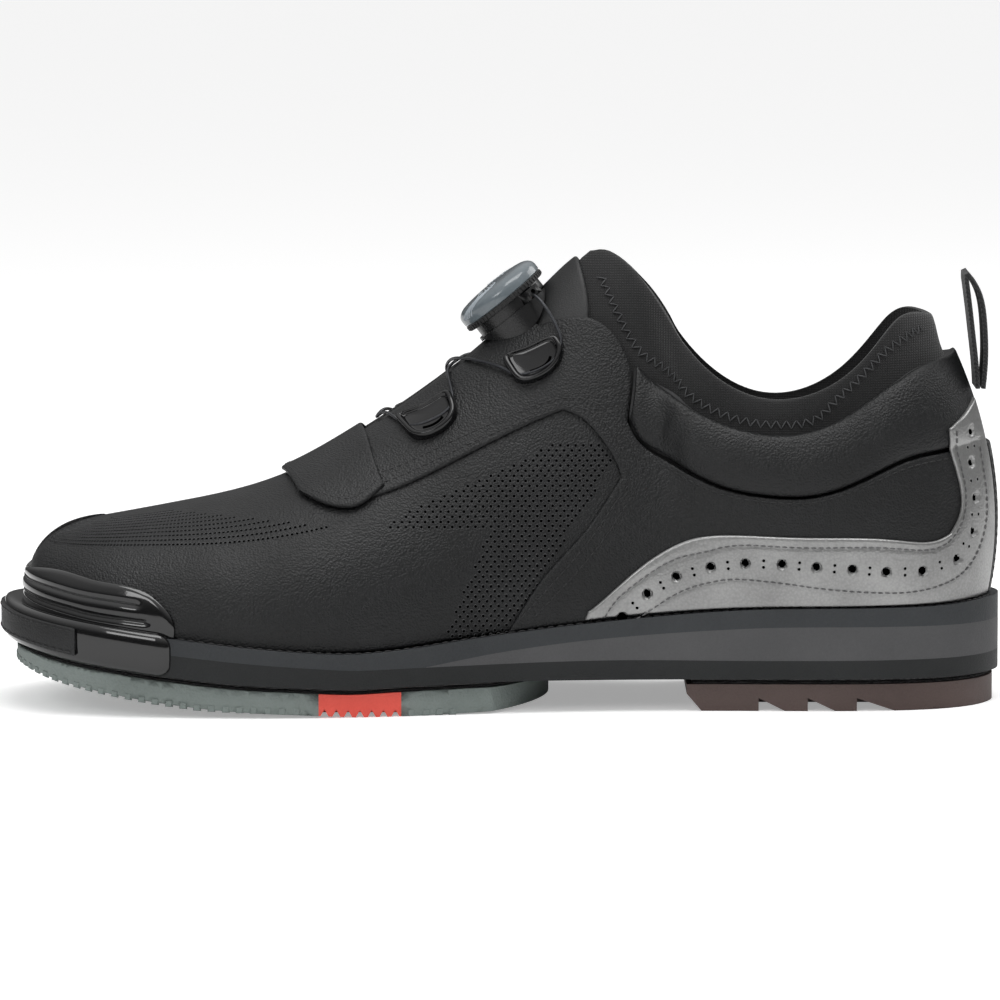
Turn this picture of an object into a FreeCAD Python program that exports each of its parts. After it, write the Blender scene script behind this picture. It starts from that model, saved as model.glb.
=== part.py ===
import FreeCAD, Part
import math
import os

import Sketcher

# Bowling shoe for the right foot, in millimetres.
# The toe points to -X, the heel to +X, the inner (medial) side of the foot to -Y, and +Z is up.
# The origin is on the floor, at the middle of the shoe's length and width.

Vector = FreeCAD.Vector
doc = FreeCAD.newDocument("bowling_shoe")

# ---------------------------------------------------------------------------
# Driving dimensions
# ---------------------------------------------------------------------------
DIMENSIONS = [
    # overall sizes
    ("shoe_length", 308.0),
    ("sole_width", 108.0),
    ("tongue_height", 139.7),
    # sole stack under the midsole
    ("heel_rubber_thickness", 8.2),
    ("hook_pad_thickness", 0.75),
    ("loop_pad_thickness", 0.75),
    ("pad_gap", 0.3),
    ("sole_inset", 1.6),
    ("pad_inset", 1.2),
    ("flex_insert_length", 25.0),
    ("heel_front_x", 57.0),
    ("fore_sole_rear_x", 15.0),
    # midsole and the inside of the shoe
    ("welt_ledge", 2.8),
    ("shank_width", 18.0),
    ("shank_length", 104.0),
    ("shank_thickness", 1.2),
    ("insole_board_thickness", 1.8),
    ("footbed_thickness", 4.0),
    ("insole_inset", 5.2),
    # toe guard
    ("bumper_thickness", 2.2),
    ("bumper_flange", 1.2),
    ("drag_patch_thickness", 1.2),
    ("toe_cap_thickness", 1.7),
    # leather, foam and knit layers
    ("vamp_thickness", 1.4),
    ("quarter_thickness", 1.2),
    ("overlay_thickness", 1.1),
    ("layer_gap", 0.1),
    ("stiffener_thickness", 0.9),
    ("bootie_thickness", 1.8),
    ("collar_puff", 2.6),
    # cable and its guides
    ("lace_diameter", 1.0),
    ("lace_clearance", 0.3),
    ("guide_thickness", 2.8),
    # dial
    ("dial_radius", 14.4),
    ("dial_x", 4.5),
    ("dial_tilt", 39.0),
    ("dial_lift", 4.0),
    ("knob_wall", 1.0),
    ("knob_clearance", 0.3),
    ("housing_wall", 1.6),
    ("housing_height", 6.2),
    ("spool_radius", 5.0),
    ("screw_radius", 1.2),
    ("screw_clearance", 0.08),
    ("cap_height", 5.6),
    ("grip_height", 1.9),
    # pull tab
    ("webbing_thickness", 1.5),
    ("webbing_width", 20.0),
    ("tab_gap", 3.4),
]

sheet = doc.addObject("Spreadsheet::Sheet", "dims")
for row, (alias, value) in enumerate(DIMENSIONS, start=1):
    sheet.set("A%d" % row, alias)
    sheet.set("B%d" % row, repr(value))
    sheet.setAlias("B%d" % row, alias)
doc.recompute()


def size(name):
    """One driving dimension, read from the sheet."""
    return float(sheet.get(name))


# The outlines below are drawn for one shoe size, and stretch with the overall sizes.
DRAWN_LENGTH = 308.0
DRAWN_WIDTH = 107.0
DRAWN_HEIGHT = 139.7
DRAWN_STACK = 10.0
MIDSOLE_BASE = (size("heel_rubber_thickness") + size("hook_pad_thickness")
                + size("pad_gap") + size("loop_pad_thickness"))
STRETCH_X = size("shoe_length") / DRAWN_LENGTH
STRETCH_Y = size("sole_width") / DRAWN_WIDTH
STRETCH_Z = (size("tongue_height") - MIDSOLE_BASE) / (DRAWN_HEIGHT - DRAWN_STACK)


def graded_x(x):
    return x * STRETCH_X


def graded_z(z):
    """A drawn height, carried by the midsole's base and stretched above it."""
    if z < DRAWN_STACK:
        return z + MIDSOLE_BASE - DRAWN_STACK
    return MIDSOLE_BASE + (z - DRAWN_STACK) * STRETCH_Z


# ---------------------------------------------------------------------------
# Splines
# ---------------------------------------------------------------------------
def natural_slopes(values):
    """Slopes of the natural cubic spline through values one unit of parameter apart."""
    last = len(values) - 1
    diagonal = [2.0] + [4.0] * (last - 1) + [2.0]
    slopes = [(values[1] - values[0]) * 3.0]
    slopes += [(values[i + 1] - values[i - 1]) * 3.0 for i in range(1, last)]
    slopes.append((values[last] - values[last - 1]) * 3.0)
    for i in range(1, last + 1):
        share = 1.0 / diagonal[i - 1]
        diagonal[i] -= share
        slopes[i] = slopes[i] - slopes[i - 1] * share
    slopes[last] = slopes[last] * (1.0 / diagonal[last])
    for i in range(last - 1, -1, -1):
        slopes[i] = (slopes[i] - slopes[i + 1]) * (1.0 / diagonal[i])
    return slopes


def spline_poles(points):
    """Poles of the cubic B-spline through the points."""
    slopes = natural_slopes(points)
    poles = [points[0], points[0] + slopes[0] * (1 / 3)]
    for i in range(len(points) - 2):
        early = points[i] + slopes[i] * (1 / 3)
        late = points[i + 1] - slopes[i + 1] * (1 / 3)
        poles.append(late * 2 - early)
    return poles + [points[-1] - slopes[-1] * (1 / 3), points[-1]]


def even_knots(count):
    return [4] + [1] * (count - 2) + [4], [float(i) for i in range(count)]


def spline_edge(points):
    multiplicities, knots = even_knots(len(points))
    curve = Part.BSplineCurve()
    curve.buildFromPolesMultsKnots(spline_poles(points), multiplicities, knots, False, 3)
    return curve.toShape()


def spline_face(grid):
    """Face through a grid of points; its four edges depend only on the grid's border rows."""
    rows = [spline_poles(line) for line in grid]
    columns = [spline_poles([line[j] for line in rows]) for j in range(len(rows[0]))]
    poles = [[column[i] for column in columns] for i in range(len(columns[0]))]
    u_mults, u_knots = even_knots(len(grid))
    v_mults, v_knots = even_knots(len(grid[0]))
    surface = Part.BSplineSurface()
    surface.buildFromPolesMultsKnots(poles, u_mults, v_mults, u_knots, v_knots, False, False, 3, 3)
    return surface.toShape()


def height_line(points):
    """A height as a smooth function of x, through drawn (x, z) points."""
    xs = [graded_x(x) for x, z in points]
    zs = [graded_z(z) for x, z in points]
    last = len(xs) - 1
    slopes = []
    for i in range(last + 1):
        low, high = max(i - 1, 0), min(i + 1, last)
        slopes.append((zs[high] - zs[low]) / (xs[high] - xs[low]))

    def height(x):
        if x <= xs[0]:
            return zs[0] + slopes[0] * (x - xs[0])
        if x >= xs[last]:
            return zs[last] + slopes[last] * (x - xs[last])
        i = max(k for k in range(last) if xs[k] <= x)
        step = xs[i + 1] - xs[i]
        f = (x - xs[i]) / step
        return ((1 + 2 * f) * (1 - f) ** 2 * zs[i] + f * (1 - f) ** 2 * step * slopes[i]
                + f * f * (3 - 2 * f) * zs[i + 1] - f * f * (1 - f) * step * slopes[i + 1])

    return height


# Side profiles of the sole unit: drawn (x, z) points from the toe to the heel.
welt_top = height_line([(-156, 33.4), (-148, 30.6), (-136, 27.4), (-120, 24.7), (-100, 22.3),
                        (-77, 20.3), (-49, 19.2), (-31, 20.2), (-10, 23.0), (15, 26.0), (45, 29.0),
                        (75, 31.2), (110, 31.7), (135, 32.0), (156, 33.2)])
midsole_bottom = height_line([(-156, 19.2), (-148, 17.0), (-136, 14.3), (-124, 12.3), (-108, 10.6),
                              (-93, 9.6), (-77, 8.8), (-49, 8.5), (-31, 9.2), (0, 10), (30, 10),
                              (156, 10)])
base_top = height_line([(-156, 24.6), (-136, 20.3), (-93, 16.6), (-49, 14.5), (-23, 15.0),
                        (31, 16.0), (77, 15.7), (156, 15.9)])
wedge_top = height_line([(-23, 15.0), (0, 19.0), (31, 22.6), (77, 25.6), (108, 26.0),
                         (156, 25.8)])
ground_line = height_line([(-156, 16.4), (-151, 12.6), (-144, 9.6), (-136, 7.0), (-124, 4.4),
                           (-108, 2.2), (-90, 0.8), (-72, 0.15), (-58, 0.0), (-50, 0.0), (-34, 0.0),
                           (-14, 0.4), (0, 1.0), (16, 2.2)])

# ---------------------------------------------------------------------------
# The surface of the upper
# ---------------------------------------------------------------------------
# One row for each station from the toe tip to the back of the heel. A rib climbs from the
# feather line (where the upper meets the sole) to the crest (the ridge in front, the top line
# behind). Columns: feather x, inner y, outer y; crest x, y, z; how far the rib starts upward,
# how far it leans out at the bottom and at the top, and how far it drops from the top line.
STATIONS = [
    (-146.0, 0.0, 0.0, -121.0, 0.0, 57.5, 17, 4, 17, 0),
    (-142.0, 19.5, 22.5, -117.0, 0.0, 58.0, 19, 5, 18, 0),
    (-131.5, 33.0, 38.0, -109.0, 0.0, 59.2, 22, 6, 20, 0),
    (-115.0, 42.0, 47.5, -98.0, 0.0, 61.2, 25, 6, 23, 0),
    (-93.0, 47.0, 52.0, -83.0, 0.0, 64.0, 27, 6, 27, 0),
    (-68.0, 49.0, 53.0, -65.0, 0.0, 69.5, 29, 6, 28, 0),
    (-43.0, 47.0, 52.0, -46.0, 0.0, 80.5, 31, 6, 25, 0),
    (-18.0, 42.0, 49.0, -26.0, 0.0, 93.5, 34, 6, 22, 0),
    (5.0, 37.0, 45.5, -6.0, 0.0, 109.2, 38, 6, 20, 0),
    (27.0, 34.0, 42.0, 14.0, 0.0, 128.2, 40, 6, 18, 2),
    (48.0, 32.5, 38.5, 35.0, 0.0, 150.0, 38, 6, 14, 14),
    (68.0, 32.5, 36.5, 55.0, 28.0, 107.0, 30, 6, 6, 24),
    (88.0, 33.0, 35.5, 82.0, 32.5, 91.5, 26, 6, 4, 24),
    (108.0, 33.5, 35.0, 108.0, 29.5, 101.0, 28, 7, 5, 26),
    (126.0, 31.5, 32.5, 122.0, 22.0, 122.0, 32, 8, 8, 28),
    (143.0, 22.5, 22.5, 131.0, 10.0, 121.0, 32, 8, 12, 28),
    (152.0, 0.0, 0.0, 134.5, 0.0, 119.5, 32, 6, 16, 28),
]
HEEL = len(STATIONS) - 1
ROUND = 2 * HEEL
RIDGE_END = 9.8
TOE_SWING = 7.0
SWING_START = 30.0
SWING_LENGTH = 178.0
LATERAL_DROP = {12: 4.0, 13: 3.0, 14: 1.0}
TOE_BLEND = 0.3
RIDGE_BLEND_T = 0.9


def station_row(index):
    """Sizes of one station on the round: inner side 0 to 16, outer side 16 to 32."""
    index %= ROUND
    inner = index <= HEEL
    number = index if inner else ROUND - index
    fx, inner_y, outer_y, cx, cy, cz, rise, low, high, drop = STATIONS[number]
    side = -1.0 if inner else 1.0
    crest_z = cz if inner else cz - LATERAL_DROP.get(number, 0.0)
    return (graded_x(fx), side * (inner_y if inner else outer_y) * STRETCH_Y,
            graded_x(cx), side * cy * STRETCH_Y, graded_z(crest_z), rise * STRETCH_Z, low, high,
            drop * STRETCH_Z)


ROWS = [station_row(index) for index in range(ROUND)]


def smooth_step(value):
    value = min(max(value, 0.0), 1.0)
    return value * value * (3 - 2 * value)


def blended_row(u):
    """Station sizes at any place round the shoe, and their slopes along it."""
    whole = math.floor(u)
    f = u - whole
    weights = ((1 - f) ** 3 / 6, (3 * f ** 3 - 6 * f * f + 4) / 6,
               (-3 * f ** 3 + 3 * f * f + 3 * f + 1) / 6, f ** 3 / 6)
    rates = (-(1 - f) ** 2 / 2, (3 * f * f - 4 * f) / 2, (-3 * f * f + 2 * f + 1) / 2, f * f / 2)
    rows = [ROWS[(whole + k - 1) % ROUND] for k in range(4)]
    blend = [sum(w * row[c] for w, row in zip(weights, rows)) for c in range(9)]
    slope = [sum(r * row[c] for r, row in zip(rates, rows)) for c in range(9)]
    return blend, slope


def mirrored_station(u):
    return ROUND - u


def nearness_to_front(u):
    """Station number counted from the toe on either side."""
    u %= ROUND
    return min(u, ROUND - u)


def swing(x):
    """The forefoot curves towards the inner side of the foot."""
    share = (graded_x(SWING_START) - x) / graded_x(SWING_LENGTH)
    return -TOE_SWING * STRETCH_Y * max(share, 0.0) ** 2


def rib_point(u, t):
    """Point of the upper's surface: u runs round the shoe, t from the sole (0) to the crest (1)."""
    row, slope = blended_row(u)
    fx, fy, cx, cy, cz, rise, low, high, drop = row
    length = math.hypot(slope[0], slope[1])
    nx, ny = slope[1] / length, -slope[0] / length
    front = nearness_to_front(u)
    cy *= smooth_step((front - RIDGE_END) / 1.1)
    climb = max(min(slope[4] / slope[2] if abs(slope[2]) > 1e-6 else 0.0, 0.9), -0.2)
    closed = max(min(1 - drop / 6, 1.0), 0.0)
    foot = Vector(fx, fy, welt_top(fx))
    crest = Vector(cx, cy, cz)
    foot_handle = foot + Vector(nx * low, ny * low, rise)
    crest_handle = crest + Vector(nx * high, ny * high, closed * climb * nx * high - drop)
    k = 1 - t
    point = (foot * k ** 3 + foot_handle * (3 * k * k * t) + crest_handle * (3 * k * t * t)
             + crest * t ** 3)
    point.y += swing(point.x)
    return point


def raw_normal(u, t):
    step = 0.004
    along = rib_point(u + step, t) - rib_point(u - step, t)
    low, high = max(t - step, 0.0), min(t + step, 1.0)
    up = rib_point(u, high) - rib_point(u, low)
    return along.cross(up).normalize()


def toe_normal(u, t):
    """Normal, carried smoothly across the toe line, where the ribs of both sides meet."""
    front = nearness_to_front(u)
    if front >= TOE_BLEND:
        return raw_normal(u, t)
    inner_share = 0.5 + 0.5 * front / TOE_BLEND
    if u % ROUND > HEEL:
        inner_share = 1 - inner_share
    return (raw_normal(TOE_BLEND, t) * inner_share
            + raw_normal(-TOE_BLEND, t) * (1 - inner_share)).normalize()


def surface_normal(u, t):
    """Outward normal; on the ridge both sides share one, so that layers meet there."""
    normal = toe_normal(u, t)
    front = nearness_to_front(u)
    if t > RIDGE_BLEND_T and front < RIDGE_END + 0.5:
        other = toe_normal(mirrored_station(u), t)
        share = 0.5 * min((t - RIDGE_BLEND_T) / (1 - RIDGE_BLEND_T), 1.0) ** 2
        share *= smooth_step((RIDGE_END + 0.5 - front) / 0.5)
        normal = (normal * (1 - share) + other * share).normalize()
    return normal


def layer_point(u, t, offset):
    return rib_point(u, t) + surface_normal(u, t) * offset


# ---------------------------------------------------------------------------
# Panels of the upper: outlines drawn in side view, then laid on the surface
# ---------------------------------------------------------------------------
COARSE = [(u * 0.5, t * 0.1, rib_point(u * 0.5, t * 0.1))
          for u in range(2 * HEEL + 1) for t in range(11)]


def place_on_side(x, z):
    """Surface place (u, t) on the inner side that stands at drawn (x, z) in side view."""
    x, z = graded_x(x), graded_z(z)
    u, t, near = min(COARSE, key=lambda item: (item[2].x - x) ** 2 + (item[2].z - z) ** 2)
    step = 1e-4
    for turn in range(12):
        here = rib_point(u, t)
        along = (rib_point(u + step, t) - here) * (1 / step)
        up = (rib_point(u, t + step) - here) * (1 / step)
        dx, dz = x - here.x, z - here.z
        area = along.x * up.z - along.z * up.x
        if abs(area) < 1e-9:
            break
        u += max(min((dx * up.z - dz * up.x) / area, 0.5), -0.5)
        t += max(min((along.x * dz - along.z * dx) / area, 0.15), -0.15)
        u = min(max(u, 0.0), HEEL)
        t = min(max(t, 0.0), 1.0)
    return u, t


def line_on_side(points, count):
    """Evenly spaced (u, t) places on the smooth line through drawn (x, z) points."""
    places = [Vector(*place_on_side(x, z), 0) for x, z in points]
    return even_places(places, count)


def even_places(places, count):
    if len(places) == 2:
        first, last = places
        return [first + (last - first) * (i / (count - 1)) for i in range(count)]
    slopes = natural_slopes(places)
    fine = []
    for i in range(len(places) - 1):
        for k in range(12):
            f = k / 12
            fine.append(places[i] * ((1 + 2 * f) * (1 - f) ** 2) + slopes[i] * (f * (1 - f) ** 2)
                        + places[i + 1] * (f * f * (3 - 2 * f))
                        - slopes[i + 1] * (f * f * (1 - f)))
    fine.append(places[-1])
    run = [0.0]
    for i in range(1, len(fine)):
        gap = fine[i] - fine[i - 1]
        run.append(run[-1] + math.hypot(gap.x, gap.y * 6))
    result = []
    k = 0
    for i in range(count):
        target = run[-1] * i / (count - 1)
        while k < len(run) - 2 and run[k + 1] < target:
            k += 1
        share = (target - run[k]) / (run[k + 1] - run[k])
        result.append(fine[k] + (fine[k + 1] - fine[k]) * min(share, 1.0))
    return result


def straight_places(first, last, count):
    """Places on a straight run of (u, t)."""
    return even_places([Vector(*first, 0), Vector(*last, 0)], count)


def patch(bottom, right, top, left):
    """Grid of (u, t) places between four border lines that share their corners."""
    last_i, last_j = len(bottom) - 1, len(left) - 1
    grid = []
    for i in range(last_i + 1):
        a = i / last_i
        line = []
        for j in range(last_j + 1):
            b = j / last_j
            place = (bottom[i] * (1 - b) + top[i] * b + left[j] * (1 - a) + right[j] * a
                     - bottom[0] * ((1 - a) * (1 - b)) - bottom[-1] * (a * (1 - b))
                     - top[0] * ((1 - a) * b) - top[-1] * (a * b))
            line.append(place)
        grid.append(line)
    return grid


def on_outer_side(grid):
    """The same patch on the outer (lateral) side of the shoe."""
    return [[Vector(ROUND - place.x, place.y, 0) for place in line] for line in grid]


def border_lines(grid):
    return [grid[0], grid[-1], [line[0] for line in grid], [line[-1] for line in grid]]


def layer_solid(patches, inner, outer):
    """Closed solid between two offsets of the surface, over one or more joined patches.

    inner and outer are functions of (u, t). Borders that two patches share stay open inside,
    and every other border gets an edge face.
    """
    faces = []
    rims = {}
    for grid in patches:
        inside = [[layer_point(p.x, p.y, inner(p.x, p.y)) for p in line] for line in grid]
        outside = [[layer_point(p.x, p.y, outer(p.x, p.y)) for p in line] for line in grid]
        faces.append(spline_face(inside))
        faces.append(spline_face(outside))
        for low, high in zip(border_lines(inside), border_lines(outside)):
            middle = low[len(low) // 2]
            key = tuple(sorted((round(p.x, 2), round(p.y, 2), round(p.z, 2))
                               for p in (low[0], low[-1], middle)))
            rims.setdefault(key, []).append((low, high))
    for pairs in rims.values():
        if len(pairs) == 1:
            low, high = pairs[0]
            faces.append(Part.makeRuledSurface(spline_edge(low), spline_edge(high)))
    return closed_solid(faces)


def turned_alike(faces):
    """The faces of a sewn shell, reversed where needed so that all point the same way."""
    users = {}
    for number, face in enumerate(faces):
        for edge in face.Edges:
            users.setdefault(edge.hashCode(), []).append((number, edge.Orientation))
    flipped = {0: False}
    waiting = [0]
    while waiting:
        number = waiting.pop()
        for edge in faces[number].Edges:
            (first, first_way), (second, second_way) = users[edge.hashCode()]
            other = second if first == number else first
            if other not in flipped:
                flipped[other] = flipped[number] != (first_way == second_way)
                waiting.append(other)
    return [face.reversed() if flipped[number] else face for number, face in enumerate(faces)]


def closed_solid(faces):
    sewn = Part.makeCompound(faces)
    sewn.sewShape(1e-3)
    if len(sewn.Shells) != 1 or not sewn.Shells[0].isClosed():
        raise ValueError("the layer does not close")
    solid = Part.makeSolid(Part.makeShell(turned_alike(sewn.Shells[0].Faces)))
    if solid.Volume < 0:
        solid.reverse()
    return solid


def steady(value):
    return lambda u, t: value


PIECES = []


def named(piece, name):
    """Marks a document object as a finished sub-part of the shoe."""
    piece.Label = name
    PIECES.append(piece)
    return piece


def helper_feature(name, shape):
    feature = doc.addObject("Part::Feature", name)
    feature.Shape = shape
    return feature


def add_piece(name, shape):
    return named(helper_feature(name, shape), name)

# ---------------------------------------------------------------------------
# Sole unit
# ---------------------------------------------------------------------------
# Every layer is the common part of a plan (an outline pulled upward) and a side profile
# (a band between two height lines pulled sideways), so that layers meet face to face.
OUTLINE_POINTS = 72
PLAN_HEIGHT = 60.0
PROFILE_WIDTH = 160.0
PROFILE_POINTS = 45
END_X = graded_x(170.0)
TOE_EXTRA_LEDGE = 3.1
HEEL_EXTRA_LEDGE = 2.2
TOE_LEDGE_STATIONS = 4.0
HEEL_LEDGE_STATIONS = 2.5


def outline_point(u, outset):
    """Point of the feather line moved straight outward in plan."""
    row, slope = blended_row(u)
    length = math.hypot(slope[0], slope[1])
    x = row[0] + slope[1] / length * outset
    y = row[1] - slope[0] / length * outset
    return Vector(x, y + swing(row[0]), 0)


def ledge(u):
    """Width of the sole's rim outside the feather line; wider round the toe and the heel."""
    toe = smooth_step(1 - nearness_to_front(u) / TOE_LEDGE_STATIONS)
    heel = smooth_step(1 - (HEEL - nearness_to_front(u)) / HEEL_LEDGE_STATIONS)
    return size("welt_ledge") + TOE_EXTRA_LEDGE * toe + HEEL_EXTRA_LEDGE * heel


def outline_wire(outset):
    """Closed plan outline, moved out from the feather line by a function of u."""
    points = []
    for i in range(OUTLINE_POINTS):
        u = ROUND * i / OUTLINE_POINTS
        points.append(outline_point(u, outset(u)))
    curve = Part.BSplineCurve()
    curve.interpolate(Points=points, PeriodicFlag=True)
    return Part.Wire([curve.toShape()])


def pulled(name, face, direction, length, symmetric):
    source = helper_feature(name + "_face", face)
    solid = doc.addObject("Part::Extrusion", name)
    solid.Base = source
    solid.DirMode = "Custom"
    solid.Dir = direction
    solid.LengthFwd = length
    solid.Symmetric = symmetric
    solid.Solid = True
    return solid


def plan(name, outset):
    return pulled(name, Part.Face(outline_wire(outset)), Vector(0, 0, 1), PLAN_HEIGHT, False)


def line_points(height, x_first, x_last, lift):
    points = []
    for i in range(PROFILE_POINTS):
        x = x_first + (x_last - x_first) * i / (PROFILE_POINTS - 1)
        points.append(Vector(x, 0, height(x) + lift))
    return points


def profile(name, upper, lower, x_first, x_last, upper_lift=0.0, lower_lift=0.0):
    top = line_points(upper, x_first, x_last, upper_lift)
    bottom = line_points(lower, x_first, x_last, lower_lift)
    edges = [spline_edge(bottom), spline_edge(top)]
    for low, high in ((bottom[0], top[0]), (bottom[-1], top[-1])):
        if (high - low).Length > 1e-6:
            edges.append(Part.makeLine(low, high))
    wire = Part.Wire(Part.__sortEdges__(edges))
    return pulled(name, Part.Face(wire), Vector(0, 1, 0), PROFILE_WIDTH, True)


def common(name, first, second):
    result = doc.addObject("Part::Common", name)
    result.Base = first
    result.Tool = second
    return result


def cut(name, base, tool):
    result = doc.addObject("Part::Cut", name)
    result.Base = base
    result.Tool = tool
    return result


def fuse(name, *shapes):
    result = doc.addObject("Part::MultiFuse", name)
    result.Shapes = list(shapes)
    return result


WEDGE_START = graded_x(-23.0)
GUARD_REAR = graded_x(-98.0)
MIDSOLE_PLAN = plan("midsole_plan", ledge)
INNER_PLAN = plan("insole_plan", lambda u: -size("insole_inset"))

base_band = profile("base_band", base_top, midsole_bottom, -END_X, END_X)
named(common("base", MIDSOLE_PLAN, base_band), "midsole_base")
wedge_band = profile("wedge_band", wedge_top, base_top, WEDGE_START, END_X)
named(common("wedge", MIDSOLE_PLAN, wedge_band), "midsole_wedge")
welt_front = profile("welt_front", welt_top, base_top, -END_X, WEDGE_START)
welt_rear = profile("welt_rear", welt_top, wedge_top, WEDGE_START, END_X)
welt_band = fuse("welt_band", welt_front, welt_rear)
welt_block = common("welt_block", MIDSOLE_PLAN, welt_band)

SHANK_MIDDLE_X = graded_x(18.0)
shank_first = SHANK_MIDDLE_X - size("shank_length") / 2
shank_last = SHANK_MIDDLE_X + size("shank_length") / 2
shank_band = profile("shank_band", welt_top, welt_top, shank_first, shank_last,
                     lower_lift=-size("shank_thickness"))
shank_strip = doc.addObject("Part::Box", "shank_strip")
shank_strip.setExpression("Length", "dims.shank_length + 2")
shank_strip.setExpression("Width", "dims.shank_width")
shank_strip.Height = PLAN_HEIGHT
shank_strip.setExpression("Placement.Base.x", "%r - 1" % shank_first)
shank_strip.setExpression("Placement.Base.y", "2 - dims.shank_width / 2")
named(common("steel_shank", shank_strip, shank_band), "shank")
named(cut("welt", welt_block, PIECES[-1]), "midsole_welt")

board_band = profile("board_band", welt_top, welt_top, -END_X, END_X,
                     upper_lift=size("insole_board_thickness"))
named(common("board", INNER_PLAN, board_band), "insole_board")
footbed_band = profile("footbed_band", welt_top, welt_top, -END_X, END_X,
                       upper_lift=size("insole_board_thickness") + size("footbed_thickness"),
                       lower_lift=size("insole_board_thickness"))
named(common("foot_bed", INNER_PLAN, footbed_band), "footbed")

# Hook-and-loop layers: the loop half is glued to the shoe, the hook half to each removable sole.
PAD_PLAN = plan("pad_plan", lambda u: ledge(u) - size("sole_inset") - size("pad_inset"))
SOLE_PLAN = plan("sole_plan", lambda u: ledge(u) - size("sole_inset"))
LOOP = size("loop_pad_thickness")
HOOK_TOP = LOOP + size("pad_gap")
HOOK_BOTTOM = HOOK_TOP + size("hook_pad_thickness")
PAD_END_MARGIN = 1.5


LAYER_SPACE = 0.02


def bottom_layer(name, label, plan_solid, x_first, x_last, top, bottom):
    """Layer under the midsole between two depths; bottom may be a height line."""
    if callable(bottom):
        band = profile(name + "_band", midsole_bottom, bottom, x_first, x_last,
                       upper_lift=-top - LAYER_SPACE)
    else:
        band = profile(name + "_band", midsole_bottom, midsole_bottom, x_first, x_last,
                       upper_lift=-top - LAYER_SPACE, lower_lift=-bottom)
    return named(common(name, plan_solid, band), label)


FORE_REAR = graded_x(0) + size("fore_sole_rear_x") * STRETCH_X
HEEL_FRONT = size("heel_front_x") * STRETCH_X
REAR_ROUND_RADIUS = 60.0
REAR_ROUND_Y = 2.0


def round_rear(name, margin):
    """Drum that rounds the rear edge of the traction sole, smaller by a margin."""
    drum = doc.addObject("Part::Cylinder", name)
    drum.Radius = REAR_ROUND_RADIUS - margin
    drum.Height = PLAN_HEIGHT
    drum.Placement.Base = Vector(FORE_REAR - REAR_ROUND_RADIUS, REAR_ROUND_Y * STRETCH_Y, -5)
    return drum


front_half = doc.addObject("Part::Box", "front_half")
front_half.Length = END_X
front_half.Width = PROFILE_WIDTH
front_half.Height = PLAN_HEIGHT
front_half.Placement.Base = Vector(FORE_REAR - REAR_ROUND_RADIUS - END_X, -PROFILE_WIDTH / 2, -5)
FORE_PLAN = common("fore_plan", SOLE_PLAN, fuse("fore_shape", round_rear("rear_round", 0.0),
                                                front_half))
FORE_PAD_PLAN = common("fore_pad_plan", PAD_PLAN,
                       fuse("fore_pad_shape", round_rear("pad_round", PAD_END_MARGIN),
                            front_half))
bottom_layer("fore_loop", "forefoot_loop_pad", FORE_PAD_PLAN, -END_X, FORE_REAR, 0.0, LOOP)
bottom_layer("fore_hook", "fore_hook_pad", FORE_PAD_PLAN, -END_X, FORE_REAR, HOOK_TOP,
             HOOK_BOTTOM)
bottom_layer("heel_loop", "heel_loop_pad", PAD_PLAN, HEEL_FRONT + PAD_END_MARGIN, END_X,
             0.0, LOOP)
bottom_layer("heel_hook", "heel_hook_pad", PAD_PLAN, HEEL_FRONT + PAD_END_MARGIN, END_X,
             HOOK_TOP, HOOK_BOTTOM)

# Traction sole: a toe part and a rear part of rubber joined by the zigzag flex insert.
INSERT_MIDDLE_X = graded_x(-42.5)
INSERT_TEETH = 7
INSERT_TOOTH_DEPTH = 2.2
insert_first = INSERT_MIDDLE_X - size("flex_insert_length") / 2
insert_last = INSERT_MIDDLE_X + size("flex_insert_length") / 2
bottom_layer("toe_rubber", "fore_sole_toe", FORE_PLAN, -END_X, insert_first,
             HOOK_BOTTOM, ground_line)
bottom_layer("rear_rubber", "fore_sole_rear", FORE_PLAN, insert_last, FORE_REAR,
             HOOK_BOTTOM, ground_line)

insert_band = profile("insert_band", midsole_bottom, ground_line, insert_first, insert_last,
                      upper_lift=-HOOK_BOTTOM)
insert_block = common("insert_block", FORE_PLAN, insert_band)
pitch = (insert_last - insert_first) / INSERT_TEETH
notch_points = []
for tooth in range(INSERT_TEETH):
    left = insert_first + tooth * pitch
    notch_points += [Vector(left, 0, -1), Vector(left + pitch / 2, 0, INSERT_TOOTH_DEPTH)]
notch_points += [Vector(insert_last, 0, -1), Vector(insert_last, 0, -2),
                 Vector(insert_first, 0, -2), Vector(insert_first, 0, -1)]
notches = pulled("insert_notches", Part.Face(Part.makePolygon(notch_points)), Vector(0, 1, 0),
                 PROFILE_WIDTH, True)
named(cut("insert", insert_block, notches), "flex_insert")

# Heel block: flat rubber with a bevelled front and three ramped notches across it.
NOTCH_RAMPS = [(79.0, 88.0), (94.0, 103.5), (109.0, 122.0)]
NOTCH_DEPTH = 4.0
BEVEL_LENGTH = 5.0
heel_plane = height_line([(-156, DRAWN_STACK - MIDSOLE_BASE), (156, DRAWN_STACK - MIDSOLE_BASE)])
heel_band = profile("heel_rubber_band", midsole_bottom, heel_plane, HEEL_FRONT, END_X,
                    upper_lift=-HOOK_BOTTOM)
heel_body = common("heel_body", SOLE_PLAN, heel_band)
notch_cutters = []
for number, (first_x, last_x) in enumerate(NOTCH_RAMPS):
    corners = [Vector(graded_x(first_x), 0, NOTCH_DEPTH), Vector(graded_x(last_x), 0, -0.5),
               Vector(graded_x(first_x), 0, -0.5)]
    notch_cutters.append(pulled("heel_notch_%d" % number,
                                Part.Face(Part.makePolygon(corners + corners[:1])),
                                Vector(0, 1, 0), PROFILE_WIDTH, True))
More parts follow.
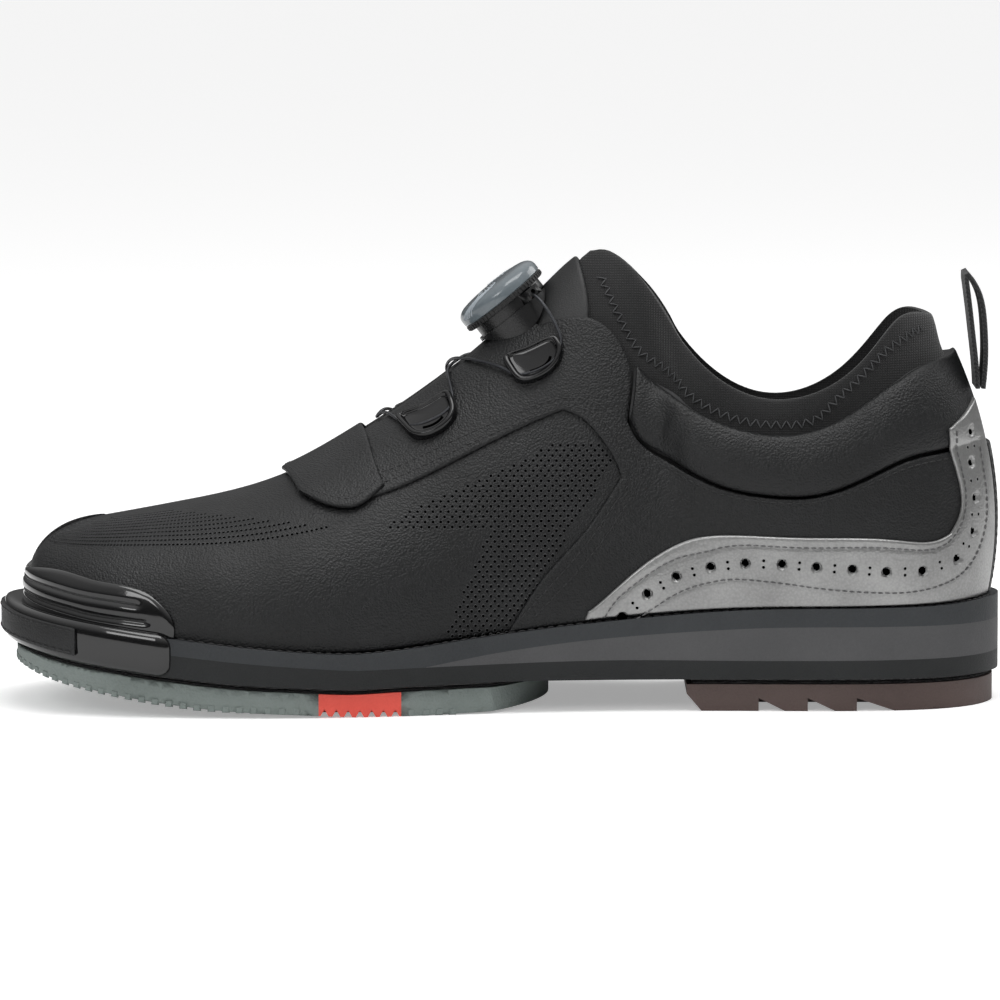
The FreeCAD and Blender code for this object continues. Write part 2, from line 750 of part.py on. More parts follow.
bevel = [Vector(HEEL_FRONT - 1, 0, 6.5), Vector(HEEL_FRONT + BEVEL_LENGTH, 0, -0.5),
         Vector(HEEL_FRONT - 1, 0, -0.5)]
notch_cutters.append(pulled("heel_bevel", Part.Face(Part.makePolygon(bevel + bevel[:1])),
                            Vector(0, 1, 0), PROFILE_WIDTH, True))
named(cut("heel_block", heel_body, fuse("heel_cutters", *notch_cutters)), "heel_rubber")

# Toe bumper: a wall round the midsole's toe with a flange over the welt, and a leather patch.
BUMPER_LOW = 4.6
FEATHER_GAP = 0.15
bumper_outer = plan("bumper_outer", lambda u: ledge(u) + size("bumper_thickness"))
bumper_inner = plan("bumper_inner", lambda u: ledge(u) + FEATHER_GAP)
FLANGE_SPACE = 0.9
flange_inner = plan("flange_inner", lambda u: size("toe_cap_thickness") + FLANGE_SPACE)
wall_band = profile("wall_band", welt_top, midsole_bottom, -END_X, GUARD_REAR, lower_lift=BUMPER_LOW)
wall_ring = cut("wall_ring", bumper_outer, bumper_inner)
bumper_wall = common("bumper_wall", wall_ring, wall_band)
flange_band = profile("flange_band", welt_top, welt_top, -END_X, GUARD_REAR,
                      upper_lift=size("bumper_flange"))
flange_ring = cut("flange_ring", bumper_outer, flange_inner)
bumper_flange = common("bumper_flange_ring", flange_ring, flange_band)
named(fuse("bumper", bumper_wall, bumper_flange), "toe_bumper")

PATCH_REAR = graded_x(-127.0)
PATCH_LOW = 6.0
PATCH_TOP_MARGIN = -1.4
patch_outer = plan("patch_outer", lambda u: (ledge(u) + size("bumper_thickness")
                                             + size("drag_patch_thickness")))
patch_ring = cut("patch_ring", patch_outer, bumper_outer)
patch_band = profile("patch_band", welt_top, midsole_bottom, -END_X, PATCH_REAR,
                     upper_lift=PATCH_TOP_MARGIN, lower_lift=PATCH_LOW)
named(common("drag_patch", patch_ring, patch_band), "toe_drag_patch")

# ---------------------------------------------------------------------------
# Upper
# ---------------------------------------------------------------------------
VAMP = size("vamp_thickness")
GAP = size("layer_gap")
QUARTER_IN = GAP
QUARTER_OUT = GAP + size("quarter_thickness")
OVERLAY_IN = QUARTER_OUT + GAP
OVERLAY_OUT = OVERLAY_IN + size("overlay_thickness")
STIFF_OUT = -VAMP - GAP
STIFF_IN = STIFF_OUT - size("stiffener_thickness")
BOOTIE_OUT = STIFF_IN - GAP
BOOTIE = size("bootie_thickness")
SOLE_SEAT = 0.004
ALONG = 13
ACROSS = 7


def both_sides(grids):
    return grids + [on_outer_side(grid) for grid in grids]


def rib(u, t_first, t_last, count=ACROSS):
    return straight_places((u, t_first), (u, t_last), count)


def run(u_first, u_last, t, count=ALONG):
    return straight_places((u_first, t), (u_last, t), count)


# Vamp: closed over the toe as far as the throat, with a wing down each side under the quarter.
THROAT_U = 5.3
WING_T = 0.72
wing_bottom = run(THROAT_U, 8.6, SOLE_SEAT)
wing_right = even_places([Vector(8.6, SOLE_SEAT, 0), Vector(*place_on_side(32, 50), 0),
                          Vector(*place_on_side(41, 70), 0), Vector(*place_on_side(35, 84.5), 0),
                          Vector(*place_on_side(24, 98), 0)], ACROSS)
wing_top = even_places([Vector(THROAT_U, WING_T, 0), Vector(*place_on_side(-36, 76), 0),
                        Vector(*place_on_side(-6, 92), 0), wing_right[-1]], ALONG)
wing_left = rib(THROAT_U, SOLE_SEAT, WING_T)
vamp_grids = [
    patch(run(0, THROAT_U, SOLE_SEAT), wing_left, run(0, THROAT_U, WING_T),
          rib(0, SOLE_SEAT, WING_T)),
    patch(run(0, THROAT_U, WING_T), rib(THROAT_U, WING_T, 1), run(0, THROAT_U, 1),
          rib(0, WING_T, 1)),
    patch(wing_bottom, wing_right, wing_top, wing_left),
]
add_piece("vamp", layer_solid(both_sides(vamp_grids), steady(-VAMP), steady(0.0)))

# Toe puff: stiffener between the vamp and the lining at the toe.
PUFF_END_U = 3.2
puff = patch(run(0, PUFF_END_U, SOLE_SEAT), rib(PUFF_END_U, SOLE_SEAT, 0.55),
             run(0, PUFF_END_U, 0.55), rib(0, SOLE_SEAT, 0.55))
add_piece("toe_puff", layer_solid(both_sides([puff]), steady(STIFF_IN), steady(STIFF_OUT)))

# Toe cap: glossy moulded skirt over the vamp's toe.
CAP_SEAT = 0.024
cap_corner = place_on_side(-105.5, 37.0)
cap_top = even_places([Vector(0, 0.25, 0), Vector(*place_on_side(-136, 43), 0),
                       Vector(*place_on_side(-124, 41), 0), Vector(*place_on_side(-113, 39.5), 0),
                       Vector(*cap_corner, 0)], ALONG)
cap_right = even_places([Vector(3.75, CAP_SEAT, 0), Vector(*place_on_side(-99.5, 31), 0),
                         Vector(*cap_corner, 0)], ACROSS)
cap_grid = patch(run(0, 3.75, CAP_SEAT), cap_right, cap_top, rib(0, CAP_SEAT, 0.25))
add_piece("toe_cap", layer_solid(both_sides([cap_grid]), steady(GAP),
                                 steady(GAP + size("toe_cap_thickness"))))

# Tongue: lies between the quarters, from the throat to the top of the instep.
tongue_bottom = even_places([Vector(THROAT_U + 0.06, 0.78, 0), Vector(*place_on_side(-24, 86), 0),
                             Vector(*place_on_side(-4, 98), 0), Vector(*place_on_side(12, 107), 0),
                             Vector(*place_on_side(26, 113), 0)], ALONG)
tongue_right = even_places([tongue_bottom[-1], Vector(*place_on_side(27, 124), 0),
                            Vector(9.45, 1, 0)], ACROSS)
tongue_grid = patch(tongue_bottom, tongue_right, run(THROAT_U + 0.06, 9.45, 1),
                    rib(THROAT_U + 0.06, 0.78, 1))
add_piece("tongue", layer_solid(both_sides([tongue_grid]), steady(-VAMP), steady(0.0)))

# Quarters: rear body of each side, with an arm (the eyestay) running forward to the throat.
HEEL_SEAM_U = 15.97
window_low = line_on_side([(2.5, 27.6), (12.5, 40.5), (24.8, 54), (34, 67), (36.8, 71)], ACROSS)
window_low[0] = Vector(window_low[0].x, SOLE_SEAT, 0)
window_round = line_on_side([(36.8, 71), (35.2, 76), (29, 85), (24, 89.6), (19, 91.4)], ACROSS)
window_round[0] = window_low[-1]
window_top = line_on_side([(-58, 64.5), (-45, 64.5), (-30, 68.5), (-12, 77), (0, 83), (19, 91.4)],
                          ALONG)
window_top[-1] = window_round[-1]
SEAM_POINTS = [(38.4, 88.6), (45.6, 79), (61, 71), (79, 66), (94, 65.5), (110, 70.2), (128, 77.4),
               (139, 79)]
seam_line = even_places([Vector(*place_on_side(x, z), 0) for x, z in SEAM_POINTS]
                        + [Vector(HEEL_SEAM_U, 0.545, 0)], 2 * ALONG)
arm_top = even_places([Vector(5.25, 0.86, 0), Vector(6.6, 0.9, 0), Vector(8.2, 0.88, 0),
                       Vector(*place_on_side(12.5, 116), 0)], ALONG)
arm_left = even_places([window_top[0], arm_top[0]], ACROSS)
arm_right = even_places([window_top[-1], Vector(*place_on_side(17, 104), 0), arm_top[-1]], ACROSS)
corner_top = even_places([arm_top[-1], Vector(*place_on_side(24.5, 119), 0),
                          Vector(*place_on_side(34.5, 114), 0), Vector(*place_on_side(40, 102), 0),
                          seam_line[0]], ALONG)
corner_right = even_places([window_low[-1], seam_line[0]], ACROSS)
corner_bottom = even_places([window_round[-1], Vector(*place_on_side(24, 89.6), 0),
                             Vector(*place_on_side(29, 85), 0), Vector(*place_on_side(35.2, 76), 0),
                             window_low[-1]], ALONG)
body_middle = even_places([window_low[-1], Vector(11.6, 0.34, 0), Vector(13.6, 0.34, 0),
                           Vector(HEEL_SEAM_U, 0.34, 0)], 2 * ALONG)
body_bottom = run(window_low[0].x, HEEL_SEAM_U, SOLE_SEAT, 2 * ALONG)
quarter_grids = [
    patch(window_top, arm_right, arm_top, arm_left),
    patch(corner_bottom, corner_right, corner_top, arm_right),
    patch(body_bottom, rib(HEEL_SEAM_U, SOLE_SEAT, 0.34), body_middle, window_low),
    patch(body_middle, rib(HEEL_SEAM_U, 0.34, 0.545), seam_line, corner_right),
]
add_piece("quarter_medial", layer_solid(quarter_grids, steady(QUARTER_IN), steady(QUARTER_OUT)))
add_piece("quarter_lateral", layer_solid([on_outer_side(grid) for grid in quarter_grids],
                                         steady(QUARTER_IN), steady(QUARTER_OUT)))

# Throat patch: saddle over the front ends of both quarters.
throat_bottom = line_on_side([(-61, 65.5), (-54.5, 63), (-47.5, 61.8), (-41.5, 63.2), (-35, 68.5)],
                             ALONG)
throat_left = even_places([throat_bottom[0], Vector(5.05, 0.83, 0), Vector(4.9, 1, 0)], ACROSS)
throat_right = even_places([throat_bottom[-1], Vector(*place_on_side(-38, 75.5), 0),
                            Vector(6.2, 0.86, 0), Vector(6.2, 1, 0)], ACROSS)
throat_grid = patch(throat_bottom, throat_right, run(4.9, 6.2, 1), throat_left)
add_piece("throat_patch", layer_solid(both_sides([throat_grid]), steady(OVERLAY_IN),
                                      steady(OVERLAY_OUT)))

# Padded collar: a leather skin on each side over one foam roll round the heel.
TOP_POINTS = [(41.5, 104.5), (49, 98.5), (61, 90.8), (73, 86.2), (82, 84.5), (91, 84.8),
              (101, 87.8), (110, 93), (119, 99.2), (127, 104)]
top_places = [Vector(*place_on_side(x, z), 0) for x, z in TOP_POINTS]
collar_top = even_places(top_places + [Vector(HEEL_SEAM_U, 0.86, 0)], 2 * ALONG)
COLLAR_GAP_T = 0.012
collar_bottom = [Vector(p.x, p.y + COLLAR_GAP_T, 0) for p in seam_line]
collar_bottom[0] = Vector(collar_bottom[0].x + 0.06, collar_bottom[0].y, 0)
collar_left = even_places([collar_bottom[0], collar_top[0]], ACROSS)
collar_right = rib(HEEL_SEAM_U, collar_bottom[-1].y, 0.86)
collar_right[0] = collar_bottom[-1]
collar_grid = patch(collar_bottom, collar_right, collar_top, collar_left)


def collar_share(u, t):
    """0 at the collar's seam and top line, 1 along the middle of the padding."""
    front = nearness_to_front(u)
    near = min(collar_bottom, key=lambda p: abs(p.x - front))
    far = min(collar_top, key=lambda p: abs(p.x - front))
    share = min(max((t - near.y) / (far.y - near.y), 0.0), 1.0)
    if not 0 < share < 1:
        return 0.0
    return math.sin(math.pi * share) ** 0.7 * (1 - smooth_step((front - 14.6) / 1.1))


def collar_outside(u, t):
    return QUARTER_OUT + size("collar_puff") * collar_share(u, t)


def collar_inside(u, t):
    return collar_outside(u, t) - size("quarter_thickness")


def foam_outside(u, t):
    return collar_inside(u, t) - GAP


add_piece("collar_leather_medial", layer_solid([collar_grid], collar_inside, collar_outside))
add_piece("collar_leather_lateral", layer_solid([on_outer_side(collar_grid)], collar_inside,
                                                collar_outside))
foam_right = [Vector(HEEL, p.y, 0) for p in collar_right]
foam_bottom = collar_bottom[:-1] + [foam_right[0]]
foam_top = collar_top[:-1] + [foam_right[-1]]
foam_grid = patch(foam_bottom, foam_right, foam_top, collar_left)
add_piece("collar_foam", layer_solid(both_sides([foam_grid]), steady(BOOTIE_OUT + GAP),
                                     foam_outside))

# Heel counter: stiff cup between the quarters and the lining.
COUNTER_TOP = 0.36
counter = patch(run(12.4, HEEL, SOLE_SEAT), rib(HEEL, SOLE_SEAT, COUNTER_TOP),
                run(13.2, HEEL, COUNTER_TOP), straight_places((12.4, SOLE_SEAT),
                                                              (13.2, COUNTER_TOP), ACROSS))
add_piece("heel_counter", layer_solid(both_sides([counter]), steady(STIFF_IN), steady(0.0)))

# Heel overlay: metallic leather round the heel with a strip climbing to the collar.
STAY_U = 15.62
overlay_corner = place_on_side(136.5, 54)
OVERLAY_SEAT = 0.012
overlay_low = run(8.95, 14.62, OVERLAY_SEAT, 2 * ALONG)
overlay_top = even_places([Vector(8.99, OVERLAY_SEAT + 0.02, 0)]
                          + [Vector(*place_on_side(x, z), 0) for x, z in
                             ((30, 33.5), (42, 43.8), (55, 51.6), (79, 54.2), (106, 53.6),
                              (127, 52))] + [Vector(*overlay_corner, 0)], 2 * ALONG)
overlay_left = even_places([overlay_low[0], overlay_top[0]], ACROSS)
overlay_middle = even_places([overlay_low[-1], overlay_top[-1]], ACROSS)
strip_left = even_places([Vector(*overlay_corner, 0), Vector(*place_on_side(140, 63.5), 0),
                          Vector(*place_on_side(137, 77), 0), Vector(*place_on_side(135, 85), 0)],
                         ALONG)
overlay_grids = [
    patch(overlay_low, overlay_middle, overlay_top, overlay_left),
    patch(run(14.62, STAY_U, OVERLAY_SEAT, ACROSS), rib(STAY_U, OVERLAY_SEAT, 0.26),
          straight_places(overlay_corner, (STAY_U, 0.26), ACROSS), overlay_middle),
    patch(straight_places(overlay_corner, (STAY_U, 0.26), ACROSS), rib(STAY_U, 0.26, 0.68, ALONG),
          even_places([strip_left[-1], Vector(15.2, 0.645, 0), Vector(STAY_U, 0.68, 0)], ACROSS),
          strip_left),
]


def overlay_inside(u, t):
    return OVERLAY_IN + size("collar_puff") * collar_share(u, t)


def overlay_outside(u, t):
    return overlay_inside(u, t) + size("overlay_thickness")


add_piece("heel_overlay_medial", layer_solid(overlay_grids, overlay_inside, overlay_outside))
add_piece("heel_overlay_lateral", layer_solid([on_outer_side(grid) for grid in overlay_grids],
                                              overlay_inside, overlay_outside))
STAY_GAP = 0.03
stay = patch(run(STAY_U + STAY_GAP, HEEL, OVERLAY_SEAT, ACROSS),
             rib(HEEL, OVERLAY_SEAT, 0.52, ALONG),
             run(STAY_U + STAY_GAP, HEEL, 0.52, ACROSS),
             rib(STAY_U + STAY_GAP, OVERLAY_SEAT, 0.52, ALONG))
add_piece("heel_stay", layer_solid(both_sides([stay]), steady(OVERLAY_IN), steady(OVERLAY_OUT)))

# Bootie: stretch sock that lines the shoe and stands out of the collar and the tongue.
TIP_U = 9.2
TIP_T = 0.6
BOOTIE_RISE = -0.6 - BOOTIE_OUT


def leather_top(front):
    """How far up a rib the leather reaches; above it the bootie stands free."""
    line = [Vector(TIP_U, TIP_T, 0), Vector(9.7, 0.72, 0)] + collar_top
    for low, high in zip(line, line[1:]):
        if front <= high.x:
            share = (front - low.x) / (high.x - low.x) if high.x > low.x else 0.0
            return low.y + (high.y - low.y) * max(share, 0.0)
    return line[-1].y


def bootie_outside(u, t):
    front = nearness_to_front(u)
    top = leather_top(front) + 0.01
    share = smooth_step((t - top) / (1 - top)) * smooth_step((front - TIP_U) / 0.6)
    return BOOTIE_OUT + BOOTIE_RISE * share


def bootie_inside(u, t):
    return bootie_outside(u, t) - BOOTIE


bootie_grids = [
    patch(run(0, RIDGE_END, SOLE_SEAT, 2 * ALONG), rib(RIDGE_END, SOLE_SEAT, 1, ALONG),
          run(0, RIDGE_END, 1, 2 * ALONG), rib(0, SOLE_SEAT, 1, ALONG)),
    patch(run(RIDGE_END, HEEL, SOLE_SEAT, 2 * ALONG), rib(HEEL, SOLE_SEAT, 1, ALONG),
          run(RIDGE_END, HEEL, 1, 2 * ALONG), rib(RIDGE_END, SOLE_SEAT, 1, ALONG)),
]
add_piece("bootie", layer_solid(both_sides(bootie_grids), bootie_inside, bootie_outside))

# ---------------------------------------------------------------------------
# Dial: base, housing, spool, screw and a knob that lifts to release the cable
# ---------------------------------------------------------------------------
def ridge_station(x):
    """Station whose crest lies at x on the front ridge."""
    low, high = 0.5, RIDGE_END
    for turn in range(40):
        middle = (low + high) / 2
        if rib_point(middle, 1).x < x:
            low = middle
        else:
            high = middle
    return low


DIAL_TILT = size("dial_tilt")
dial_seat = rib_point(ridge_station(size("dial_x")), 1)
DIAL_TURN = FreeCAD.Rotation(Vector(0, 1, 0), -DIAL_TILT)
dial_origin = dial_seat + DIAL_TURN.multVec(Vector(0, 0, size("dial_lift")))
DIAL_PLACE = FreeCAD.Placement(dial_origin, DIAL_TURN)


def in_dial(x, y, z):
    return DIAL_PLACE.multVec(Vector(x, y, z))


def turned(name, corners, placement):
    """Body of revolution; corners are (radius, height) expressions in its half section."""
    body = doc.addObject("PartDesign::Body", name)
    sketch = body.newObject("Sketcher::SketchObject", name + "_section")
    plane = [part for part in body.Origin.OriginFeatures if part.Role == "XZ_Plane"][0]
    sketch.AttachmentSupport = [(plane, "")]
    sketch.MapMode = "FlatFace"
    places = [Vector(sketch.evalExpression(radius), sketch.evalExpression(height), 0)
              for radius, height in corners]
    count = len(places)
    for i in range(count):
        sketch.addGeometry(Part.LineSegment(places[i], places[(i + 1) % count]), False)
    for i in range(count):
        sketch.addConstraint(Sketcher.Constraint("Coincident", i, 2, (i + 1) % count, 1))
    for i, (radius, height) in enumerate(corners):
        if radius == "0":
            sketch.addConstraint(Sketcher.Constraint("PointOnObject", i, 1, -2))
        else:
            number = sketch.addConstraint(Sketcher.Constraint("DistanceX", -1, 1, i, 1,
                                                              places[i].x))
            sketch.setExpression("Constraints[%d]" % number, radius)
        number = sketch.addConstraint(Sketcher.Constraint("DistanceY", -1, 1, i, 1, places[i].y))
        sketch.setExpression("Constraints[%d]" % number, height)
    spin = body.newObject("PartDesign::Revolution", name + "_turn")
    spin.Profile = sketch
    spin.ReferenceAxis = (sketch, ["V_Axis"])
    spin.Angle = 360
    body.Placement = placement
    return body


GRIP_IN = "dims.dial_radius - 0.9"
KNOB_IN = "dims.dial_radius - 0.9 - dims.knob_wall"
HOUSING_OUT = KNOB_IN + " - dims.knob_clearance"
HOUSING_IN = HOUSING_OUT + " - dims.housing_wall"
SPOOL_OUT = HOUSING_IN + " - 0.5"
FLOOR_LOW = "2.8 - dims.housing_height"
FLOOR_TOP = "3.6 - dims.housing_height"
SPOOL_LOW = "3.9 - dims.housing_height"
SCREW_BORE = "dims.screw_radius + dims.screw_clearance"
SCREW_LOW = FLOOR_LOW + " - 0.5"

# Lace ports: a block on each side of the housing, drilled for the cable.
PORT_ANGLE = 54.0
PORT_HEIGHT = -1.3
PORT_REACH = 3.6
LACE_RADIUS = size("lace_diameter") / 2
housing_out_radius = sheet.evalExpression(HOUSING_OUT)
housing_in_radius = sheet.evalExpression(HOUSING_IN)
port_end = housing_out_radius + PORT_REACH


def port_point(radius, side):
    angle = math.radians(PORT_ANGLE)
    return in_dial(radius * math.cos(angle), side * radius * math.sin(angle), PORT_HEIGHT)


# ---------------------------------------------------------------------------
# Cable and its guides
# ---------------------------------------------------------------------------
GUIDE_IN = QUARTER_OUT + GAP
GUIDE_OUT = GUIDE_IN + size("guide_thickness")
CABLE_HEIGHT = GUIDE_IN + size("guide_thickness") / 2
UPPER_GUIDE = ([(6.1, 97.6), (14.4, 100.6), (18.6, 104.4), (19.8, 108.9)],
               [(19.8, 108.9), (17.9, 112.4)],
               [(0.9, 105.7), (6.1, 108.7), (12.5, 111.2), (17.9, 112.4)],
               [(6.1, 97.6), (0.9, 105.7)])
LOWER_GUIDE = ([(-25.9, 80.9), (-20.4, 82.1), (-15.3, 85.0), (-12.2, 89.0)],
               [(-12.2, 89.0), (-14.0, 95.6)],
               [(-31.8, 86.3), (-25.7, 90.2), (-20.5, 93.2), (-14.0, 95.6)],
               [(-25.9, 80.9), (-31.8, 86.3)])

# Route of the cable on the side of the shoe: drawn x, z and height above the vamp.
UPPER_ROUTE = [(19.3, 113.6, 2.9), (18.9, 107.6, 2.9), (14.8, 103.4, 2.9), (6.2, 100.1, 2.9),
               (1.8, 102.4, 2.9), (-3.0, 103.7, 2.8), (-8.4, 104.2, 2.7)]
LOWER_ROUTE = [(-15.2, 100.4, 2.7), (-13.9, 96.4, 2.8), (-13.3, 91.6, 2.9), (-16.6, 88.0, 2.9),
               (-26.2, 83.8, 2.9), (-30.6, 86.0, 2.9), (-34.4, 87.6, 2.6)]
CROSSING_X = -13.3
FRONT_CROSSING_X = -38.2
CROSSING_LOW = 1.0
CROSSING_STEP = 1.4


def route_point(x, z, height, side):
    u, t = place_on_side(x, z)
    lift = height + CABLE_HEIGHT - 2.9
    return layer_point(u if side < 0 else ROUND - u, t, max(lift, LACE_RADIUS + 0.1))


def ridge_lace_point(x, height):
    u = ridge_station(graded_x(x))
    return layer_point(u, 1, height)


def tube(points, radius):
    """Round tube through the points: straight runs joined by tangent arcs."""
    edges = []
    here = points[0]
    bends = []
    for before, corner, after in zip(points, points[1:], points[2:]):
        back, ahead = before - corner, after - corner
        turn = math.pi - back.getAngle(ahead)
        reach = 0.45 * min(back.Length, ahead.Length)
        bend = reach / math.tan(turn / 2)
        bends.append(bend)
        start = corner + back.normalize() * reach
        end = corner + ahead.normalize() * reach
        inward = (back + ahead).normalize()
        middle = corner + inward * (bend / math.cos(turn / 2) - bend)
        edges.append(Part.LineSegment(here, start).toShape())
        edges.append(Part.Arc(start, middle, end).toShape())
        here = end
    edges.append(Part.LineSegment(here, points[-1]).toShape())
    path = Part.Wire(edges)
    section = Part.Wire([Part.Circle(points[0], points[1] - points[0], radius).toShape()])
    solid = path.makePipeShell([section], True, False)
    expected = math.pi * radius ** 2 * path.Length
    print("tube: length %.0f, tightest bend %.1f, volume ratio %.4f"
          % (path.Length, min(bends), solid.Volume / expected))
    return solid


def side_route(route, side):
    return [route_point(x, z, height, side) for x, z, height in route]


CABLE_ROUTE = (
    [port_point(housing_in_radius + 0.4, -1), port_point(port_end + 1.0, -1)]
    + side_route(UPPER_ROUTE, -1)
    + [ridge_lace_point(CROSSING_X, CROSSING_LOW + CROSSING_STEP)]
    + side_route(LOWER_ROUTE, 1)
    + [ridge_lace_point(FRONT_CROSSING_X, CROSSING_LOW)]
    + side_route(LOWER_ROUTE[::-1], -1)
    + [ridge_lace_point(CROSSING_X, CROSSING_LOW)]
    + side_route(UPPER_ROUTE[::-1], 1)
    + [port_point(port_end + 1.0, 1), port_point(housing_in_radius + 0.4, 1)])
add_piece("lace", tube(CABLE_ROUTE, LACE_RADIUS))
cable_bore = helper_feature("cable_bore", tube(CABLE_ROUTE, LACE_RADIUS + size("lace_clearance")))


def guide_patch(outline):
    bottom, right, top, left = [[Vector(*place_on_side(x, z), 0) for x, z in line]
                                for line in outline]
    return patch(even_places(bottom, ALONG), even_places(right, ACROSS), even_places(top, ALONG),
                 even_places(left, ACROSS))


for label, outline in (("upper", UPPER_GUIDE), ("lower", LOWER_GUIDE)):
    inner_grid = guide_patch(outline)
    for side, grid in (("medial", inner_grid), ("lateral", on_outer_side(inner_grid))):
        blank = helper_feature("%s_guide_blank_%s" % (label, side),
                               layer_solid([grid], steady(GUIDE_IN), steady(GUIDE_OUT)))
        named(cut("%s_guide_%s" % (label, side), blank, cable_bore),
              "lace_guide_%s_%s" % (label, side))

# The dial sits on the tongue: its base is cut to the tongue's curve.
SEAT_DEPTH = 24.0
seat_grid = patch(run(6.4, 9.75, 0.6, 2 * ALONG), rib(9.75, 0.6, 1, ALONG),
                  run(6.4, 9.75, 1, 2 * ALONG), rib(6.4, 0.6, 1, ALONG))


def seat_height(t):
    """The base rests on the tongue along the ridge, and clears the quarters beside it."""
    return GAP + QUARTER_OUT * smooth_step((0.985 - t) / 0.05)


seat_blocks = []
for number, grid in enumerate((seat_grid, on_outer_side(seat_grid))):
    face = spline_face([[layer_point(p.x, p.y, seat_height(p.y)) for p in line]
                        for line in grid])
    down = DIAL_PLACE.Rotation.multVec(Vector(0, 0, -SEAT_DEPTH))
    block = face.extrude(down)
    if block.Volume < 0:
        block.reverse()
    seat_blocks.append(helper_feature("dial_seat_%d" % number, block))
dial_seat_block = fuse("dial_seat_block", *seat_blocks)

base_blank = doc.addObject("Part::Cylinder", "dial_base_blank")
base_blank.setExpression("Radius", HOUSING_OUT + " + 1.1")
base_blank.Height = 10.0
base_blank.Placement = DIAL_PLACE.multiply(FreeCAD.Placement(
    Vector(0, 0, 2.8 - size("housing_height") - 10.0), FreeCAD.Rotation()))
screw_blank = doc.addObject("Part::Cylinder", "screw_hole")
screw_blank.setExpression("Radius", "dims.screw_radius")
screw_blank.Height = 20.0
screw_blank.Placement = DIAL_PLACE.multiply(FreeCAD.Placement(Vector(0, 0, -15),
                                                              FreeCAD.Rotation()))
base_cut = cut("dial_base_seated", base_blank, dial_seat_block)
named(cut("dial_base_drilled", base_cut, screw_blank), "dial_base")

housing_cup = turned("dial_cup", [
    ("dims.screw_radius", FLOOR_LOW), (HOUSING_OUT, FLOOR_LOW), (HOUSING_OUT, "2.8"),
    (HOUSING_IN, "2.8"), (HOUSING_IN, FLOOR_TOP), ("dims.screw_radius", FLOOR_TOP)], DIAL_PLACE)
ports = []
for side in (-1, 1):
    block = doc.addObject("Part::Box", "lace_port_%s" % ("inner" if side < 0 else "outer"))
    block.Length = PORT_REACH + 1.0
    block.Width = 5.0
    block.Height = 3.1
    turn = FreeCAD.Rotation(Vector(0, 0, 1), side * PORT_ANGLE)
    local = FreeCAD.Placement(Vector(0, 0, -3.3), turn).multiply(
        FreeCAD.Placement(Vector(housing_out_radius - 1.0, -2.5, 0), FreeCAD.Rotation()))
    block.Placement = DIAL_PLACE.multiply(local)
    ports.append(block)
housing_body = fuse("housing_body", housing_cup, *ports)
housing_seated = cut("housing_seated", housing_body, dial_seat_block)
named(cut("housing_drilled", housing_seated, cable_bore), "dial_housing")

named(turned("spool", [
    (SCREW_BORE, SPOOL_LOW), (SPOOL_OUT, SPOOL_LOW), (SPOOL_OUT, SPOOL_LOW + " + 0.5"),
    ("dims.spool_radius", SPOOL_LOW + " + 0.5"), ("dims.spool_radius", "-0.4"),
    (SPOOL_OUT, "-0.4"), (SPOOL_OUT, "0.3"), ("8", "0.3"), ("8", "2.4"), (SCREW_BORE, "2.4")],
    DIAL_PLACE), "lace_spool")
named(turned("screw", [
    ("0", SCREW_LOW), ("dims.screw_radius", SCREW_LOW), ("dims.screw_radius", "2.7"),
    ("2.8", "2.7"), ("2.8", "3.7"), ("0", "3.7")], DIAL_PLACE), "dial_screw")
named(turned("knob", [
    ("0", "4.4"), ("3.4", "4.4"), ("3.4", "2.6"), ("6.5", "2.6"), ("6.5", "4.4"),
    (KNOB_IN, "4.4"), (KNOB_IN, "0.1"), (GRIP_IN, "0.1"), (GRIP_IN, "5.4"), ("0", "5.4")],
    DIAL_PLACE), "dial_knob")
named(turned("grip", [
    (GRIP_IN, "0.1"), ("dims.dial_radius", "0.1"), ("dims.dial_radius", "0.1 + dims.grip_height"),
    (GRIP_IN, "0.1 + dims.grip_height")], DIAL_PLACE), "dial_grip")
CAP_LOW = "0.1 + dims.grip_height"
CAP_TOP = CAP_LOW + " + dims.cap_height"
named(turned("cap", [
    (GRIP_IN, CAP_LOW), ("dims.dial_radius", CAP_LOW),
    ("dims.dial_radius", CAP_TOP + " - 3.5"), ("dims.dial_radius - 0.8", CAP_TOP + " - 1.9"),
    ("dims.dial_radius - 2.8", CAP_TOP + " - 0.8"), ("dims.dial_radius * 0.5", CAP_TOP + " - 0.2"),
    ("0", CAP_TOP), ("0", "5.4"), (GRIP_IN, "5.4")], DIAL_PLACE), "dial_cap")

# ---------------------------------------------------------------------------
# Pull tab: a folded loop of webbing at the back, sewn above the heel overlay
# ---------------------------------------------------------------------------
TAB_FRONT = [(146.2, 96.6), (145.7, 104.0), (144.8, 112.0), (143.6, 122.0), (142.3, 131.6)]
TAB_BACK = [(149.4, 96.6), (150.1, 106.0), (149.8, 116.0), (148.2, 125.5), (144.0, 132.6)]
WEBBING = size("webbing_thickness")


def tab_points(points):
    return [Vector(graded_x(x), 0, graded_z(z)) for x, z in points]


def shifted(points, distance):
    """The same line moved sideways in its own plane."""
    moved = []
    for i, point in enumerate(points):
        along = points[min(i + 1, len(points) - 1)] - points[max(i - 1, 0)]
        along.normalize()
        moved.append(point + Vector(along.z, 0, -along.x) * distance)
    return moved


